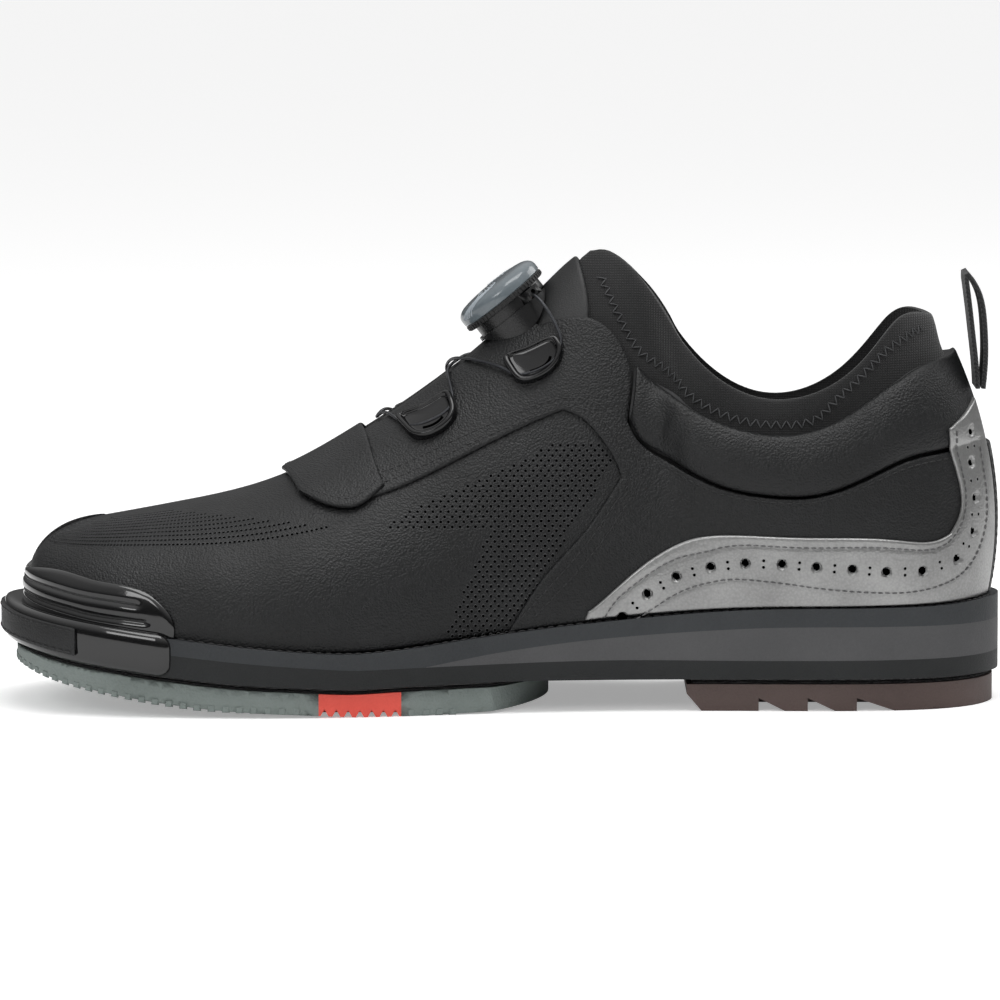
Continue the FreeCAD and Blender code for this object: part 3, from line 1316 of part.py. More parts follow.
tab_front = tab_points(TAB_FRONT)
tab_back = tab_points(TAB_BACK)
tab_outer_wire = Part.Wire([spline_edge(tab_front), Part.makeLine(tab_front[-1], tab_back[-1]),
                            spline_edge(tab_back[::-1]), Part.makeLine(tab_back[0], tab_front[0])])
hole_front = shifted(tab_front, WEBBING)[1:-1]
hole_back = shifted(tab_back, -WEBBING)[1:-1]
tab_hole_wire = Part.Wire([spline_edge(hole_front), Part.makeLine(hole_front[-1], hole_back[-1]),
                           spline_edge(hole_back[::-1]), Part.makeLine(hole_back[0],
                                                                        hole_front[0])])
tab_face = Part.Face(tab_outer_wire).cut(Part.Face(tab_hole_wire))
tab_solid = pulled("tab_loop", tab_face.Faces[0], Vector(0, 1, 0), size("webbing_width"), True)
tab_solid.setExpression("LengthFwd", "dims.webbing_width")
named(tab_solid, "pull_tab")

# ---------------------------------------------------------------------------
# Check and write
# ---------------------------------------------------------------------------
doc.recompute()
for item in doc.Objects:
    if "Invalid" in item.State or "Error" in item.State:
        raise RuntimeError("%s did not build" % item.Label)
os.makedirs("parts", exist_ok=True)
for piece in PIECES:
    shape = piece.Shape
    if shape.isNull() or not shape.isValid() or not shape.Solids:
        raise RuntimeError("%s has no valid solid" % piece.Label)
for piece in PIECES:
    piece.Shape.exportStep("parts/%s.step" % piece.Label)
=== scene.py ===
import math

import bmesh
import bpy
import numpy as np
from mathutils import Matrix, Vector
from mathutils.kdtree import KDTree


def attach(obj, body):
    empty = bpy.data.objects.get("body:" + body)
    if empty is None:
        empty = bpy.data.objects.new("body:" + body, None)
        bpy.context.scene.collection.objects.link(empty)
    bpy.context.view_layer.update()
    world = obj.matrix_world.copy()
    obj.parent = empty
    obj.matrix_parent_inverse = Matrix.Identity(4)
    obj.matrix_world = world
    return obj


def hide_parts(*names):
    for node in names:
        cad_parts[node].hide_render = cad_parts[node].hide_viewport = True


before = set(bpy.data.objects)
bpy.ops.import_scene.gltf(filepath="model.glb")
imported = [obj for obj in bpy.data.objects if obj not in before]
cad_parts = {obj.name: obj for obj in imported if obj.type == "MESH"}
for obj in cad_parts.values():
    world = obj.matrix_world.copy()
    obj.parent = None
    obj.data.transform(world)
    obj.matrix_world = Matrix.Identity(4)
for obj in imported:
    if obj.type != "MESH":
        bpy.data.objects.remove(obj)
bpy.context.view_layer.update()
MM = 0.001

# ---------------------------------------------------------------------------
# Camera, floor and light
# ---------------------------------------------------------------------------
# The shoe is seen square on from its inner side, from a little above, with a long lens.
# It stands on a pale paper sweep under large soft lamps, as in a catalogue studio.
VIEW_DISTANCE = 2.3
VIEW_LIFT = math.radians(6.0)
VIEW_HEIGHT = 0.0612
camera_data = bpy.data.cameras.new("camera")
camera_data.lens = 267.8
camera_data.sensor_width = 36.0
camera_data.clip_start = 0.05
camera_data.clip_end = 50.0
camera = bpy.data.objects.new("camera", camera_data)
camera.location = (0.0, -VIEW_DISTANCE * math.cos(VIEW_LIFT),
                   VIEW_HEIGHT + VIEW_DISTANCE * math.sin(VIEW_LIFT))
camera.rotation_euler = (math.pi / 2 - VIEW_LIFT, 0.0, 0.0)
bpy.context.scene.collection.objects.link(camera)
bpy.context.scene.camera = camera

PAPER_COLOUR = (0.93, 0.93, 0.93, 1.0)
PAPER_ROUGHNESS = 0.85
PAPER_GLOW = 0.34
WHITE = (1.0, 1.0, 1.0, 1.0)
SKY_LOW, SKY_HIGH = 0.07, 0.86


def calculated(nodes, links, operation, *values):
    """Output of a Math node whose inputs are numbers or the outputs of other nodes."""
    node = nodes.new("ShaderNodeMath")
    node.operation = operation
    for socket, value in zip(node.inputs, values):
        if isinstance(value, float):
            socket.default_value = value
        else:
            links.new(value, socket)
    return node.outputs[0]


bpy.ops.object.select_all(action="DESELECT")
bpy.ops.mesh.primitive_plane_add(size=12.0, location=(0.0, 0.0, 0.0))
floor = bpy.context.object
floor.name = "floor"
paper = bpy.data.materials.new("pale_paper")
paper.use_nodes = True
paper_nodes, paper_links = paper.node_tree.nodes, paper.node_tree.links
paper_shader = paper_nodes["Principled BSDF"]
paper_shader.inputs["Base Color"].default_value = PAPER_COLOUR
paper_shader.inputs["Roughness"].default_value = PAPER_ROUGHNESS
paper_shader.inputs["Emission Color"].default_value = WHITE
paper_seen = paper_nodes.new("ShaderNodeLightPath").outputs["Is Camera Ray"]
paper_links.new(calculated(paper_nodes, paper_links, "MULTIPLY", paper_seen, PAPER_GLOW),
                paper_shader.inputs["Emission Strength"])
floor.data.materials.append(paper)

world = bpy.data.worlds.new("studio")
world.use_nodes = True
world_nodes, world_links = world.node_tree.nodes, world.node_tree.links
studio = world_nodes["Background"]
heading = world_nodes.new("ShaderNodeTexCoord")
heading_parts = world_nodes.new("ShaderNodeSeparateXYZ")
world_links.new(heading.outputs["Generated"], heading_parts.inputs[0])
sky = world_nodes.new("ShaderNodeMapRange")
sky.interpolation_type = "SMOOTHSTEP"
sky.inputs["From Min"].default_value = 0.0
sky.inputs["From Max"].default_value = 1.0
sky.inputs["To Min"].default_value = SKY_LOW
sky.inputs["To Max"].default_value = SKY_HIGH
world_links.new(heading_parts.outputs["Z"], sky.inputs["Value"])
world_links.new(sky.outputs["Result"], studio.inputs["Strength"])
studio.inputs["Color"].default_value = WHITE
backdrop = world_nodes.new("ShaderNodeBackground")
backdrop.inputs["Color"].default_value = WHITE
seen = world_nodes.new("ShaderNodeLightPath")
either = world_nodes.new("ShaderNodeMixShader")
world_links.new(seen.outputs["Is Camera Ray"], either.inputs["Fac"])
world_links.new(studio.outputs[0], either.inputs[1])
world_links.new(backdrop.outputs[0], either.inputs[2])
world_links.new(either.outputs[0], world_nodes["World Output"].inputs["Surface"])
bpy.context.scene.world = world
bpy.context.scene.view_settings.view_transform = "Standard"


def soft_lamp(name, place, aim, width, height, power):
    """Rectangular soft box that looks from its place to its aim."""
    lamp = bpy.data.lights.new(name, "AREA")
    lamp.shape = "RECTANGLE"
    lamp.size = width
    lamp.size_y = height
    lamp.energy = power
    holder = bpy.data.objects.new(name, lamp)
    holder.location = place
    holder.rotation_euler = (Vector(aim) - Vector(place)).to_track_quat("-Z", "Y").to_euler()
    bpy.context.scene.collection.objects.link(holder)


soft_lamp("top_box", place=(0.1, -0.35, 1.5), aim=(0.0, 0.0, 0.05), width=1.2, height=0.8,
          power=11.0)
soft_lamp("front_box", place=(-0.7, -1.5, 0.9), aim=(0.0, 0.0, 0.07), width=0.7, height=0.5,
          power=5.0)
soft_lamp("rear_box", place=(1.1, 0.7, 0.9), aim=(0.05, 0.0, 0.08), width=0.9, height=0.6,
          power=4.0)

# ---------------------------------------------------------------------------
# Cable
# ---------------------------------------------------------------------------
# One stranded steel cable in a thin dark nylon coat leaves the dial on each side, runs down
# through the two guides of that side and crosses the tongue twice. It is held taut by the reel
# and lies on the leather, so its route is drawn on the surface of the upper.
WIDTH_GRADE = 108.0 / 107.0
# A row for each rib of the surface, from toe to heel: the foot's x and its distance to the inner
# and the outer side; the crest's x, y and z; the rise of the foot's handle, the reach of the lower
# and the upper handle, and the upper handle's drop.
STATIONS = [
    (-146.0, 0.0, 0.0, -121.0, 0.0, 57.5, 17, 4, 17, 0),
    (-142.0, 19.5, 22.5, -117.0, 0.0, 58.0, 19, 5, 18, 0),
    (-131.5, 33.0, 38.0, -109.0, 0.0, 59.2, 22, 6, 20, 0),
    (-115.0, 42.0, 47.5, -98.0, 0.0, 61.2, 25, 6, 23, 0),
    (-93.0, 47.0, 52.0, -83.0, 0.0, 64.0, 27, 6, 27, 0),
    (-68.0, 49.0, 53.0, -65.0, 0.0, 69.5, 29, 6, 28, 0),
    (-43.0, 47.0, 52.0, -46.0, 0.0, 80.5, 31, 6, 25, 0),
    (-18.0, 42.0, 49.0, -26.0, 0.0, 93.5, 34, 6, 22, 0),
    (5.0, 37.0, 45.5, -6.0, 0.0, 109.2, 38, 6, 20, 0),
    (27.0, 34.0, 42.0, 14.0, 0.0, 128.2, 40, 6, 18, 2),
    (48.0, 32.5, 38.5, 35.0, 0.0, 150.0, 38, 6, 14, 14),
    (68.0, 32.5, 36.5, 55.0, 28.0, 107.0, 30, 6, 6, 24),
    (88.0, 33.0, 35.5, 82.0, 32.5, 91.5, 26, 6, 4, 24),
    (108.0, 33.5, 35.0, 108.0, 29.5, 101.0, 28, 7, 5, 26),
    (126.0, 31.5, 32.5, 122.0, 22.0, 122.0, 32, 8, 8, 28),
    (143.0, 22.5, 22.5, 131.0, 10.0, 121.0, 32, 8, 12, 28),
    (152.0, 0.0, 0.0, 134.5, 0.0, 119.5, 32, 6, 16, 28),
]
HEEL = 16
ROUND = 32
RIDGE_END = 9.8
TOE_BLEND = 0.3
LATERAL_DROP = {12: 4.0, 13: 3.0, 14: 1.0}
# The forepart swings to the inner side, more and more towards the toe.
TOE_SWING, SWING_START, SWING_LENGTH = 7.0, 30.0, 178.0
RIDGE_EASE = 1.1
NORMAL_STEP = 0.004
SIDES = (("medial", -1), ("lateral", 1))


def height_line(points):
    """A height as a smooth function of x, through (x, z) points."""
    xs, zs = np.array(points, float).T
    order, last = np.arange(len(xs)), len(xs) - 1
    low, high = np.maximum(order - 1, 0), np.minimum(order + 1, last)
    slopes = (zs[high] - zs[low]) / (xs[high] - xs[low])

    def height(x):
        x = np.asarray(x, float)
        inside = np.clip(x, xs[0], xs[-1])
        i = np.clip(np.searchsorted(xs, inside, side="right") - 1, 0, last - 1)
        step = xs[i + 1] - xs[i]
        f = (inside - xs[i]) / step
        value = ((1 + 2 * f) * (1 - f) ** 2 * zs[i] + f * (1 - f) ** 2 * step * slopes[i]
                 + f * f * (3 - 2 * f) * zs[i + 1] - f * f * (1 - f) * step * slopes[i + 1])
        return value + (x - inside) * np.where(x > inside, slopes[-1], slopes[0])

    return height


# Top edge of the welt, where the upper meets the sole.
welt_top = height_line([(-156, 33.4), (-148, 30.6), (-136, 27.4), (-120, 24.7), (-100, 22.3),
                        (-77, 20.3), (-49, 19.2), (-31, 20.2), (-10, 23.0), (15, 26.0), (45, 29.0),
                        (75, 31.2), (110, 31.7), (135, 32.0), (156, 33.2)])


def station_row(index):
    inner = index <= HEEL
    number = index if inner else ROUND - index
    fx, inner_y, outer_y, cx, cy, cz, rise, low, high, drop = STATIONS[number]
    side = -WIDTH_GRADE if inner else WIDTH_GRADE
    crest_z = cz if inner else cz - LATERAL_DROP.get(number, 0.0)
    return (fx, side * (inner_y if inner else outer_y), cx, side * cy, crest_z, rise, low, high,
            drop)


ROWS = np.array([station_row(index) for index in range(ROUND)], float)


def smooth_step(value):
    value = np.clip(value, 0.0, 1.0)
    return value * value * (3 - 2 * value)


def on_side(u, side):
    """The same place round the shoe on the inner side (-1) or the outer side (1)."""
    return u if side < 0 else ROUND - u


def nearness_to_front(u):
    u = np.mod(u, ROUND)
    return np.minimum(u, ROUND - u)


def rib_point(u, t):
    """Surface of the upper: u runs round the shoe, t from the sole (0) to the crest (1)."""
    u, t = np.broadcast_arrays(np.asarray(u, float), np.asarray(t, float))
    whole = np.floor(u)
    f = (u - whole)[..., None]
    whole = whole.astype(int)
    weights = ((1 - f) ** 3 / 6, (3 * f ** 3 - 6 * f * f + 4) / 6,
               (-3 * f ** 3 + 3 * f * f + 3 * f + 1) / 6, f ** 3 / 6)
    rates = (-(1 - f) ** 2 / 2, (3 * f * f - 4 * f) / 2, (-3 * f * f + 2 * f + 1) / 2, f * f / 2)
    rows = [ROWS[(whole + k - 1) % ROUND] for k in range(4)]
    row = np.moveaxis(sum(w * r for w, r in zip(weights, rows)), -1, 0)
    slope = np.moveaxis(sum(w * r for w, r in zip(rates, rows)), -1, 0)
    fx, fy, cx, cy, cz, rise, low, high, drop = row
    length = np.hypot(slope[0], slope[1])
    nx, ny = slope[1] / length, -slope[0] / length
    cy = cy * smooth_step((nearness_to_front(u) - RIDGE_END) / RIDGE_EASE)
    forward = np.abs(slope[2]) > 1e-6
    level = np.where(forward, slope[2], 1.0)
    climb = np.clip(np.where(forward, slope[4] / level, 0.0), -0.2, 0.9)
    closed = np.clip(1 - drop / 6, 0.0, 1.0)
    foot = np.stack([fx, fy, welt_top(fx)], -1)
    crest = np.stack([cx, cy, cz], -1)
    foot_handle = foot + np.stack([nx * low, ny * low, rise], -1)
    crest_handle = crest + np.stack([nx * high, ny * high, closed * climb * nx * high - drop], -1)
    k = (1 - t)[..., None]
    t = t[..., None]
    point = (foot * k ** 3 + foot_handle * (3 * k * k * t) + crest_handle * (3 * k * t * t)
             + crest * t ** 3)
    swing = np.maximum((SWING_START - point[..., 0]) / SWING_LENGTH, 0.0) ** 2
    point[..., 1] -= TOE_SWING * WIDTH_GRADE * swing
    return point


def unit(vectors):
    return vectors / np.maximum(np.linalg.norm(vectors, axis=-1, keepdims=True), 1e-12)


def raw_normal(u, t):
    step = NORMAL_STEP
    along = rib_point(u + step, t) - rib_point(u - step, t)
    up = rib_point(u, np.minimum(t + step, 1.0)) - rib_point(u, np.maximum(t - step, 0.0))
    return unit(np.cross(along, up))


def toe_normal(u, t):
    """Normal whose two sides are blended over the front of the toe."""
    front = nearness_to_front(u)
    share = 0.5 + 0.5 * front / TOE_BLEND
    share = np.where(np.mod(u, ROUND) > HEEL, 1 - share, share)[..., None]
    blend = unit(raw_normal(np.full_like(u, TOE_BLEND), t) * share
                 + raw_normal(np.full_like(u, -TOE_BLEND), t) * (1 - share))
    return np.where((front >= TOE_BLEND)[..., None], raw_normal(u, t), blend)


def surface_normal(u, t):
    """Normal of the upper; along the ridge the two sides share one."""
    front = nearness_to_front(u)
    normal = toe_normal(u, t)
    other = toe_normal(ROUND - u, t)
    share = 0.5 * np.clip((t - 0.9) / 0.1, 0.0, 1.0) ** 2
    share = (share * smooth_step((RIDGE_END + 0.5 - front) / 0.5))[..., None]
    return unit(normal * (1 - share) + other * share)


def on_shoe(u, t, offset):
    """Points at a height above the surface, in millimetres."""
    u, t, offset = np.broadcast_arrays(np.asarray(u, float), np.asarray(t, float),
                                       np.asarray(offset, float))
    return rib_point(u, t) + surface_normal(u, t) * offset[..., None]


coarse_u, coarse_t = (a.ravel() for a in np.meshgrid(np.arange(33) * 0.5, np.arange(11) * 0.1,
                                                     indexing="ij"))
coarse_points = rib_point(coarse_u, coarse_t)


def place_on_side(x, z):
    """Place (u, t) on the inner side that stands at (x, z) in side view."""
    near = np.argmin((coarse_points[:, 0] - x) ** 2 + (coarse_points[:, 2] - z) ** 2)
    u, t = coarse_u[near], coarse_t[near]
    step = 1e-4
    for _ in range(12):
        here, right, above = rib_point(np.array([u, u + step, u]), np.array([t, t, t + step]))
        along, up = (right - here) / step, (above - here) / step
        dx, dz = x - here[0], z - here[2]
        area = along[0] * up[2] - along[2] * up[0]
        if abs(area) < 1e-9:
            break
        u += np.clip((dx * up[2] - dz * up[0]) / area, -0.5, 0.5)
        t += np.clip((along[0] * dz - along[2] * dx) / area, -0.15, 0.15)
        u, t = min(max(u, 0.0), HEEL), min(max(t, 0.0), 1.0)
    return u, t


QUARTER_OUT = 1.3
GUIDE_THICKNESS = 2.8
CABLE_HEIGHT = QUARTER_OUT + 0.1 + GUIDE_THICKNESS / 2
DIAL_TILT = math.radians(39.0)
DIAL_X = 4.5
ridge_u = np.linspace(0.5, RIDGE_END, 4000)
ridge_x = rib_point(ridge_u, np.ones_like(ridge_u))[:, 0]
dial_axis = Vector((-math.sin(DIAL_TILT), 0.0, math.cos(DIAL_TILT)))
dial_seat_u = float(np.interp(DIAL_X, ridge_x, ridge_u))
dial_origin = Vector(rib_point(dial_seat_u, 1.0)) + dial_axis * 4.0
DIAL_PLACE = Matrix.Translation(dial_origin * MM) @ Matrix.Rotation(-DIAL_TILT, 4, "Y")
HOUSING_OUT_RADIUS = 12.2
HOUSING_IN_RADIUS = 10.6


PORT_ANGLE = math.radians(54.0)
PORT_LEVEL = -1.3
PORT_REACH = 3.6
ROUTE_LEVEL = 2.9
SLACK_END = 1.0
CABLE_RADIUS = 0.0005


def dial_point(x, y, z):
    """A place given in the dial's own plane, in millimetres."""
    return np.array((DIAL_PLACE @ (Vector((x, y, z)) * MM)) / MM)


def port_point(radius, side):
    """Point on the line of a cable port, in the dial's own plane."""
    return list(dial_point(radius * math.cos(PORT_ANGLE), side * radius * math.sin(PORT_ANGLE),
                           PORT_LEVEL))


UPPER_ROUTE = [(19.3, 113.6, 2.9), (18.9, 107.6, 2.9), (14.8, 103.4, 2.9), (6.2, 100.1, 2.9),
               (1.8, 102.4, 2.9), (-3.0, 103.7, 2.8), (-8.4, 104.2, 2.7)]
LOWER_ROUTE = [(-15.2, 100.4, 2.7), (-13.9, 96.4, 2.8), (-13.3, 91.6, 2.9), (-16.6, 88.0, 2.9),
               (-26.2, 83.8, 2.9), (-30.6, 86.0, 2.9), (-34.4, 87.6, 2.6)]


def side_route(route, side):
    """Points of the cable on one side, from (x, z, height) places in side view."""
    points = []
    for x, z, height in route:
        u, t = place_on_side(x, z)
        points.append(list(on_shoe(on_side(u, side), t, height + CABLE_HEIGHT - ROUTE_LEVEL)))
    return points


def ridge_lace_point(x, height):
    return list(on_shoe(float(np.interp(x, ridge_x, ridge_u)), 1.0, height))


port_start = HOUSING_IN_RADIUS + 0.4
port_end = HOUSING_OUT_RADIUS + PORT_REACH + SLACK_END
cable_route = (
    [port_point(port_start, -1), port_point(port_end, -1)]
    + side_route(UPPER_ROUTE, -1)
    + [ridge_lace_point(-13.3, 2.4)]
    + side_route(LOWER_ROUTE, 1)
    + [ridge_lace_point(-38.2, 1.0)]
    + side_route(LOWER_ROUTE[::-1], -1)
    + [ridge_lace_point(-13.3, 1.0)]
    + side_route(UPPER_ROUTE[::-1], 1)
    + [port_point(port_end, 1), port_point(port_start, 1)])
cable_curve = bpy.data.curves.new("cable", "CURVE")
cable_curve.dimensions = "3D"
cable_line = cable_curve.splines.new("NURBS")
cable_line.points.add(len(cable_route) - 1)
for spot, place in zip(cable_line.points, cable_route):
    spot.co = (*(value * MM for value in place), 1.0)
cable_line.order_u = 3
cable_line.use_endpoint_u = True
cable_line.resolution_u = 8
cable_curve.bevel_depth = CABLE_RADIUS
cable_curve.bevel_resolution = 3
cable_curve.use_fill_caps = True
cable = bpy.data.objects.new("steel_cable", cable_curve)
bpy.context.scene.collection.objects.link(cable)
GRAIN_DEPTH = 0.0004


def texture(nodes, links, kind, place, scale, **values):
    """A texture node on the piece's own coordinates; its scale is a number or an output."""
    node = nodes.new("ShaderNodeTex" + kind)
    links.new(place, node.inputs["Vector"])
    if isinstance(scale, float):
        node.inputs["Scale"].default_value = scale
    else:
        links.new(scale, node.inputs["Scale"])
    for socket, value in values.items():
        node.inputs[socket].default_value = value
    return node


def shade_group(name, build):
    """A node group with Scale, Strength and Mottle in, and Tone and Normal out."""
    group = bpy.data.node_groups.new(name, "ShaderNodeTree")
    for label, start in (("Scale", 1000.0), ("Strength", 0.3), ("Mottle", 30.0)):
        socket = group.interface.new_socket(label, in_out="INPUT", socket_type="NodeSocketFloat")
        socket.default_value = start
    group.interface.new_socket("Tone", in_out="OUTPUT", socket_type="NodeSocketFloat")
    group.interface.new_socket("Normal", in_out="OUTPUT", socket_type="NodeSocketVector")
    nodes, links = group.nodes, group.links
    entry = nodes.new("NodeGroupInput")
    outlet = nodes.new("NodeGroupOutput")
    place = nodes.new("ShaderNodeTexCoord").outputs["Object"]
    patches = texture(nodes, links, "Noise", place, entry.outputs["Mottle"], Detail=4.0)
    height, grain = build(nodes, links, entry, place)
    bump = nodes.new("ShaderNodeBump")
    bump.inputs["Distance"].default_value = GRAIN_DEPTH
    links.new(entry.outputs["Strength"], bump.inputs["Strength"])
    links.new(height, bump.inputs["Height"])
    spread = calculated(nodes, links, "MULTIPLY_ADD", patches.outputs["Fac"], 1.5, -0.5)
    tone = calculated(nodes, links, "MULTIPLY_ADD", grain, 0.45, spread)
    links.new(tone, outlet.inputs["Tone"])
    links.new(bump.outputs["Normal"], outlet.inputs["Normal"])
    return group


def fine_moulding(nodes, links, entry, place):
    """Fine even texture of moulded rubber, foam and plastic."""
    speck = texture(nodes, links, "Noise", place, entry.outputs["Scale"], Detail=3.0)
    return speck.outputs["Fac"], speck.outputs["Fac"]


moulding = shade_group("moulded_texture", fine_moulding)


def finish(name, dark, light, rough_low, rough_high, group, scale, strength, mottle=40.0,
           **sockets):
    """Material whose colour and roughness follow a texture group's tone."""
    material = bpy.data.materials.new(name)
    material.use_nodes = True
    nodes, links = material.node_tree.nodes, material.node_tree.links
    shader = nodes["Principled BSDF"]
    texture = nodes.new("ShaderNodeGroup")
    texture.node_tree = group
    texture.inputs["Scale"].default_value = scale
    texture.inputs["Strength"].default_value = strength
    texture.inputs["Mottle"].default_value = mottle
    colour = nodes.new("ShaderNodeMix")
    colour.data_type = "RGBA"
    colour.inputs[6].default_value = (*dark, 1.0)
    colour.inputs[7].default_value = (*light, 1.0)
    links.new(texture.outputs["Tone"], colour.inputs[0])
    links.new(colour.outputs[2], shader.inputs["Base Color"])
    rough = nodes.new("ShaderNodeMapRange")
    rough.inputs["To Min"].default_value = rough_high
    rough.inputs["To Max"].default_value = rough_low
    links.new(texture.outputs["Tone"], rough.inputs["Value"])
    links.new(rough.outputs["Result"], shader.inputs["Roughness"])
    links.new(texture.outputs["Normal"], shader.inputs["Normal"])
    for socket, value in sockets.items():
        shader.inputs[socket.replace("_", " ")].default_value = value
    return material


cable_finish = finish("coated_cable", (0.02, 0.021, 0.024), (0.06, 0.062, 0.068), 0.22, 0.4,
                      moulding, 4000.0, 0.2, Metallic=0.6)
cable_curve.materials.append(cable_finish)
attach(cable, "shoe")
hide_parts("lace")
[value * MM for value in cable_route[0]]

# ---------------------------------------------------------------------------
# Vamp
# ---------------------------------------------------------------------------
# The vamp is one piece of smooth-grained black leather, cut with a wing down each side. It is
# lasted over the toe and cemented to the sole. Rows of fine punched holes let the forefoot
# breathe: a field over the toe, and a field in each wing that follows the quarter's edge.
EDGE_STEPS = np.array([0.12, 0.35, 0.75, 1.3])


def along_line(points):
    """A smooth (u, t) line through the points, as a function of its share of length."""
    points = np.array(points, float)
    if len(points) == 2:
        fine = points
    else:
        last = len(points) - 1
        matrix = np.zeros((last + 1, last + 1))
        right = np.zeros_like(points)
        for i in range(last + 1):
            matrix[i, i] = 2.0 if i in (0, last) else 4.0
            if i > 0:
                matrix[i, i - 1] = 1.0
            if i < last:
                matrix[i, i + 1] = 1.0
            right[i] = 3.0 * (points[min(i + 1, last)] - points[max(i - 1, 0)])
        slopes = np.linalg.solve(matrix, right)
        f = (np.arange(12) / 12)[:, None]
        fine = np.concatenate([
            points[i] * ((1 + 2 * f) * (1 - f) ** 2) + slopes[i] * (f * (1 - f) ** 2)
            + points[i + 1] * (f * f * (3 - 2 * f)) - slopes[i + 1] * (f * f * (1 - f))
            for i in range(last)] + [points[-1:]])
    gaps = np.diff(fine, axis=0)
    run = np.concatenate([[0.0], np.cumsum(np.hypot(gaps[:, 0], gaps[:, 1] * 6))])
    run = run / run[-1]
    return lambda share: np.stack([np.interp(share, run, fine[:, 0]),
                                   np.interp(share, run, fine[:, 1])], -1)


def side_line(*points):
    """Places on the inner side under (x, z) points in side view; (u, t, "u") is kept as it is."""
    return [point[:2] if len(point) == 3 else place_on_side(*point) for point in points]


def spaced(length, step, edge=True):
    """Shares of a line of that length; close together near a panel's cut edges."""
    inner = np.linspace(0.0, 1.0, max(int(length / step), 2) + 1)
    if not edge:
        return inner
    close = EDGE_STEPS / length
    middle = inner[(inner > close[-1] * 1.3) & (inner < 1 - close[-1] * 1.3)]
    return np.concatenate([[0.0], close, middle, 1 - close[::-1], [1.0]])


def patch(bottom, right, top, left, across_shares, up_shares):
    """Grid of (u, t) places between four lines that share their corners."""
    bottom, right, top, left = (along_line(line) for line in (bottom, right, top, left))
    a, b = across_shares[:, None, None], up_shares[None, :, None]
    low, high = bottom(across_shares)[:, None], top(across_shares)[:, None]
    first, last = left(up_shares)[None], right(up_shares)[None]
    return (low * (1 - b) + high * b + first * (1 - a) + last * a
            - low[:1] * ((1 - a) * (1 - b)) - low[-1:] * (a * (1 - b))
            - high[:1] * ((1 - a) * b) - high[-1:] * (a * b))


def new_piece(name, points, faces, material, angle=0.75):
    """Mesh object from points in millimetres."""
    mesh = bpy.data.meshes.new(name)
    mesh.from_pydata((np.asarray(points) * MM).tolist(), [], faces)
    mesh.validate()
    mesh.shade_smooth()
    mesh.set_sharp_from_angle(angle=angle)
    mesh.materials.append(material)
    piece = bpy.data.objects.new(name, mesh)
    bpy.context.scene.collection.objects.link(piece)
    return piece


def face_outward(piece):
    """Turns a closed piece's faces so that all of them look outward."""
    shape = bmesh.new()
    shape.from_mesh(piece.data)
    bmesh.ops.recalc_face_normals(shape, faces=shape.faces)
    shape.to_mesh(piece.data)
    shape.free()


def walls(first, rows, size):
    """Faces between rings of points that follow one another."""
    return [[ring + k, ring + (k + 1) % size, ring + (k + 1) % size + size, ring + k + size]
            for ring in range(first, first + (rows - 1) * size, size) for k in range(size)]


def closed_walls(first, rows, size):
    """Faces of a tube of rings, with its two ends."""
    last = first + (rows - 1) * size
    return (walls(first, rows, size)
            + [list(range(first, first + size))[::-1], list(range(last, last + size))])


def line_on_layer(line, height, side=-1, count=400):
    """Points of a (u, t) line at a height over the surface, and the normals there.
    The height is a number or a function of u and t."""
    places = along_line(line)(np.linspace(0.0, 1.0, count))
    u, t = on_side(places[:, 0], side), places[:, 1]
    return on_shoe(u, t, height(u, t) if callable(height) else height), surface_normal(u, t)


def near_distance(points, line):
    """Distance of each point from the nearest point of a line of points."""
    tree = KDTree(len(line))
    for number, place in enumerate(line):
        tree.insert(place, number)
    tree.balance()
    return np.array([tree.find(point)[2] for point in points])


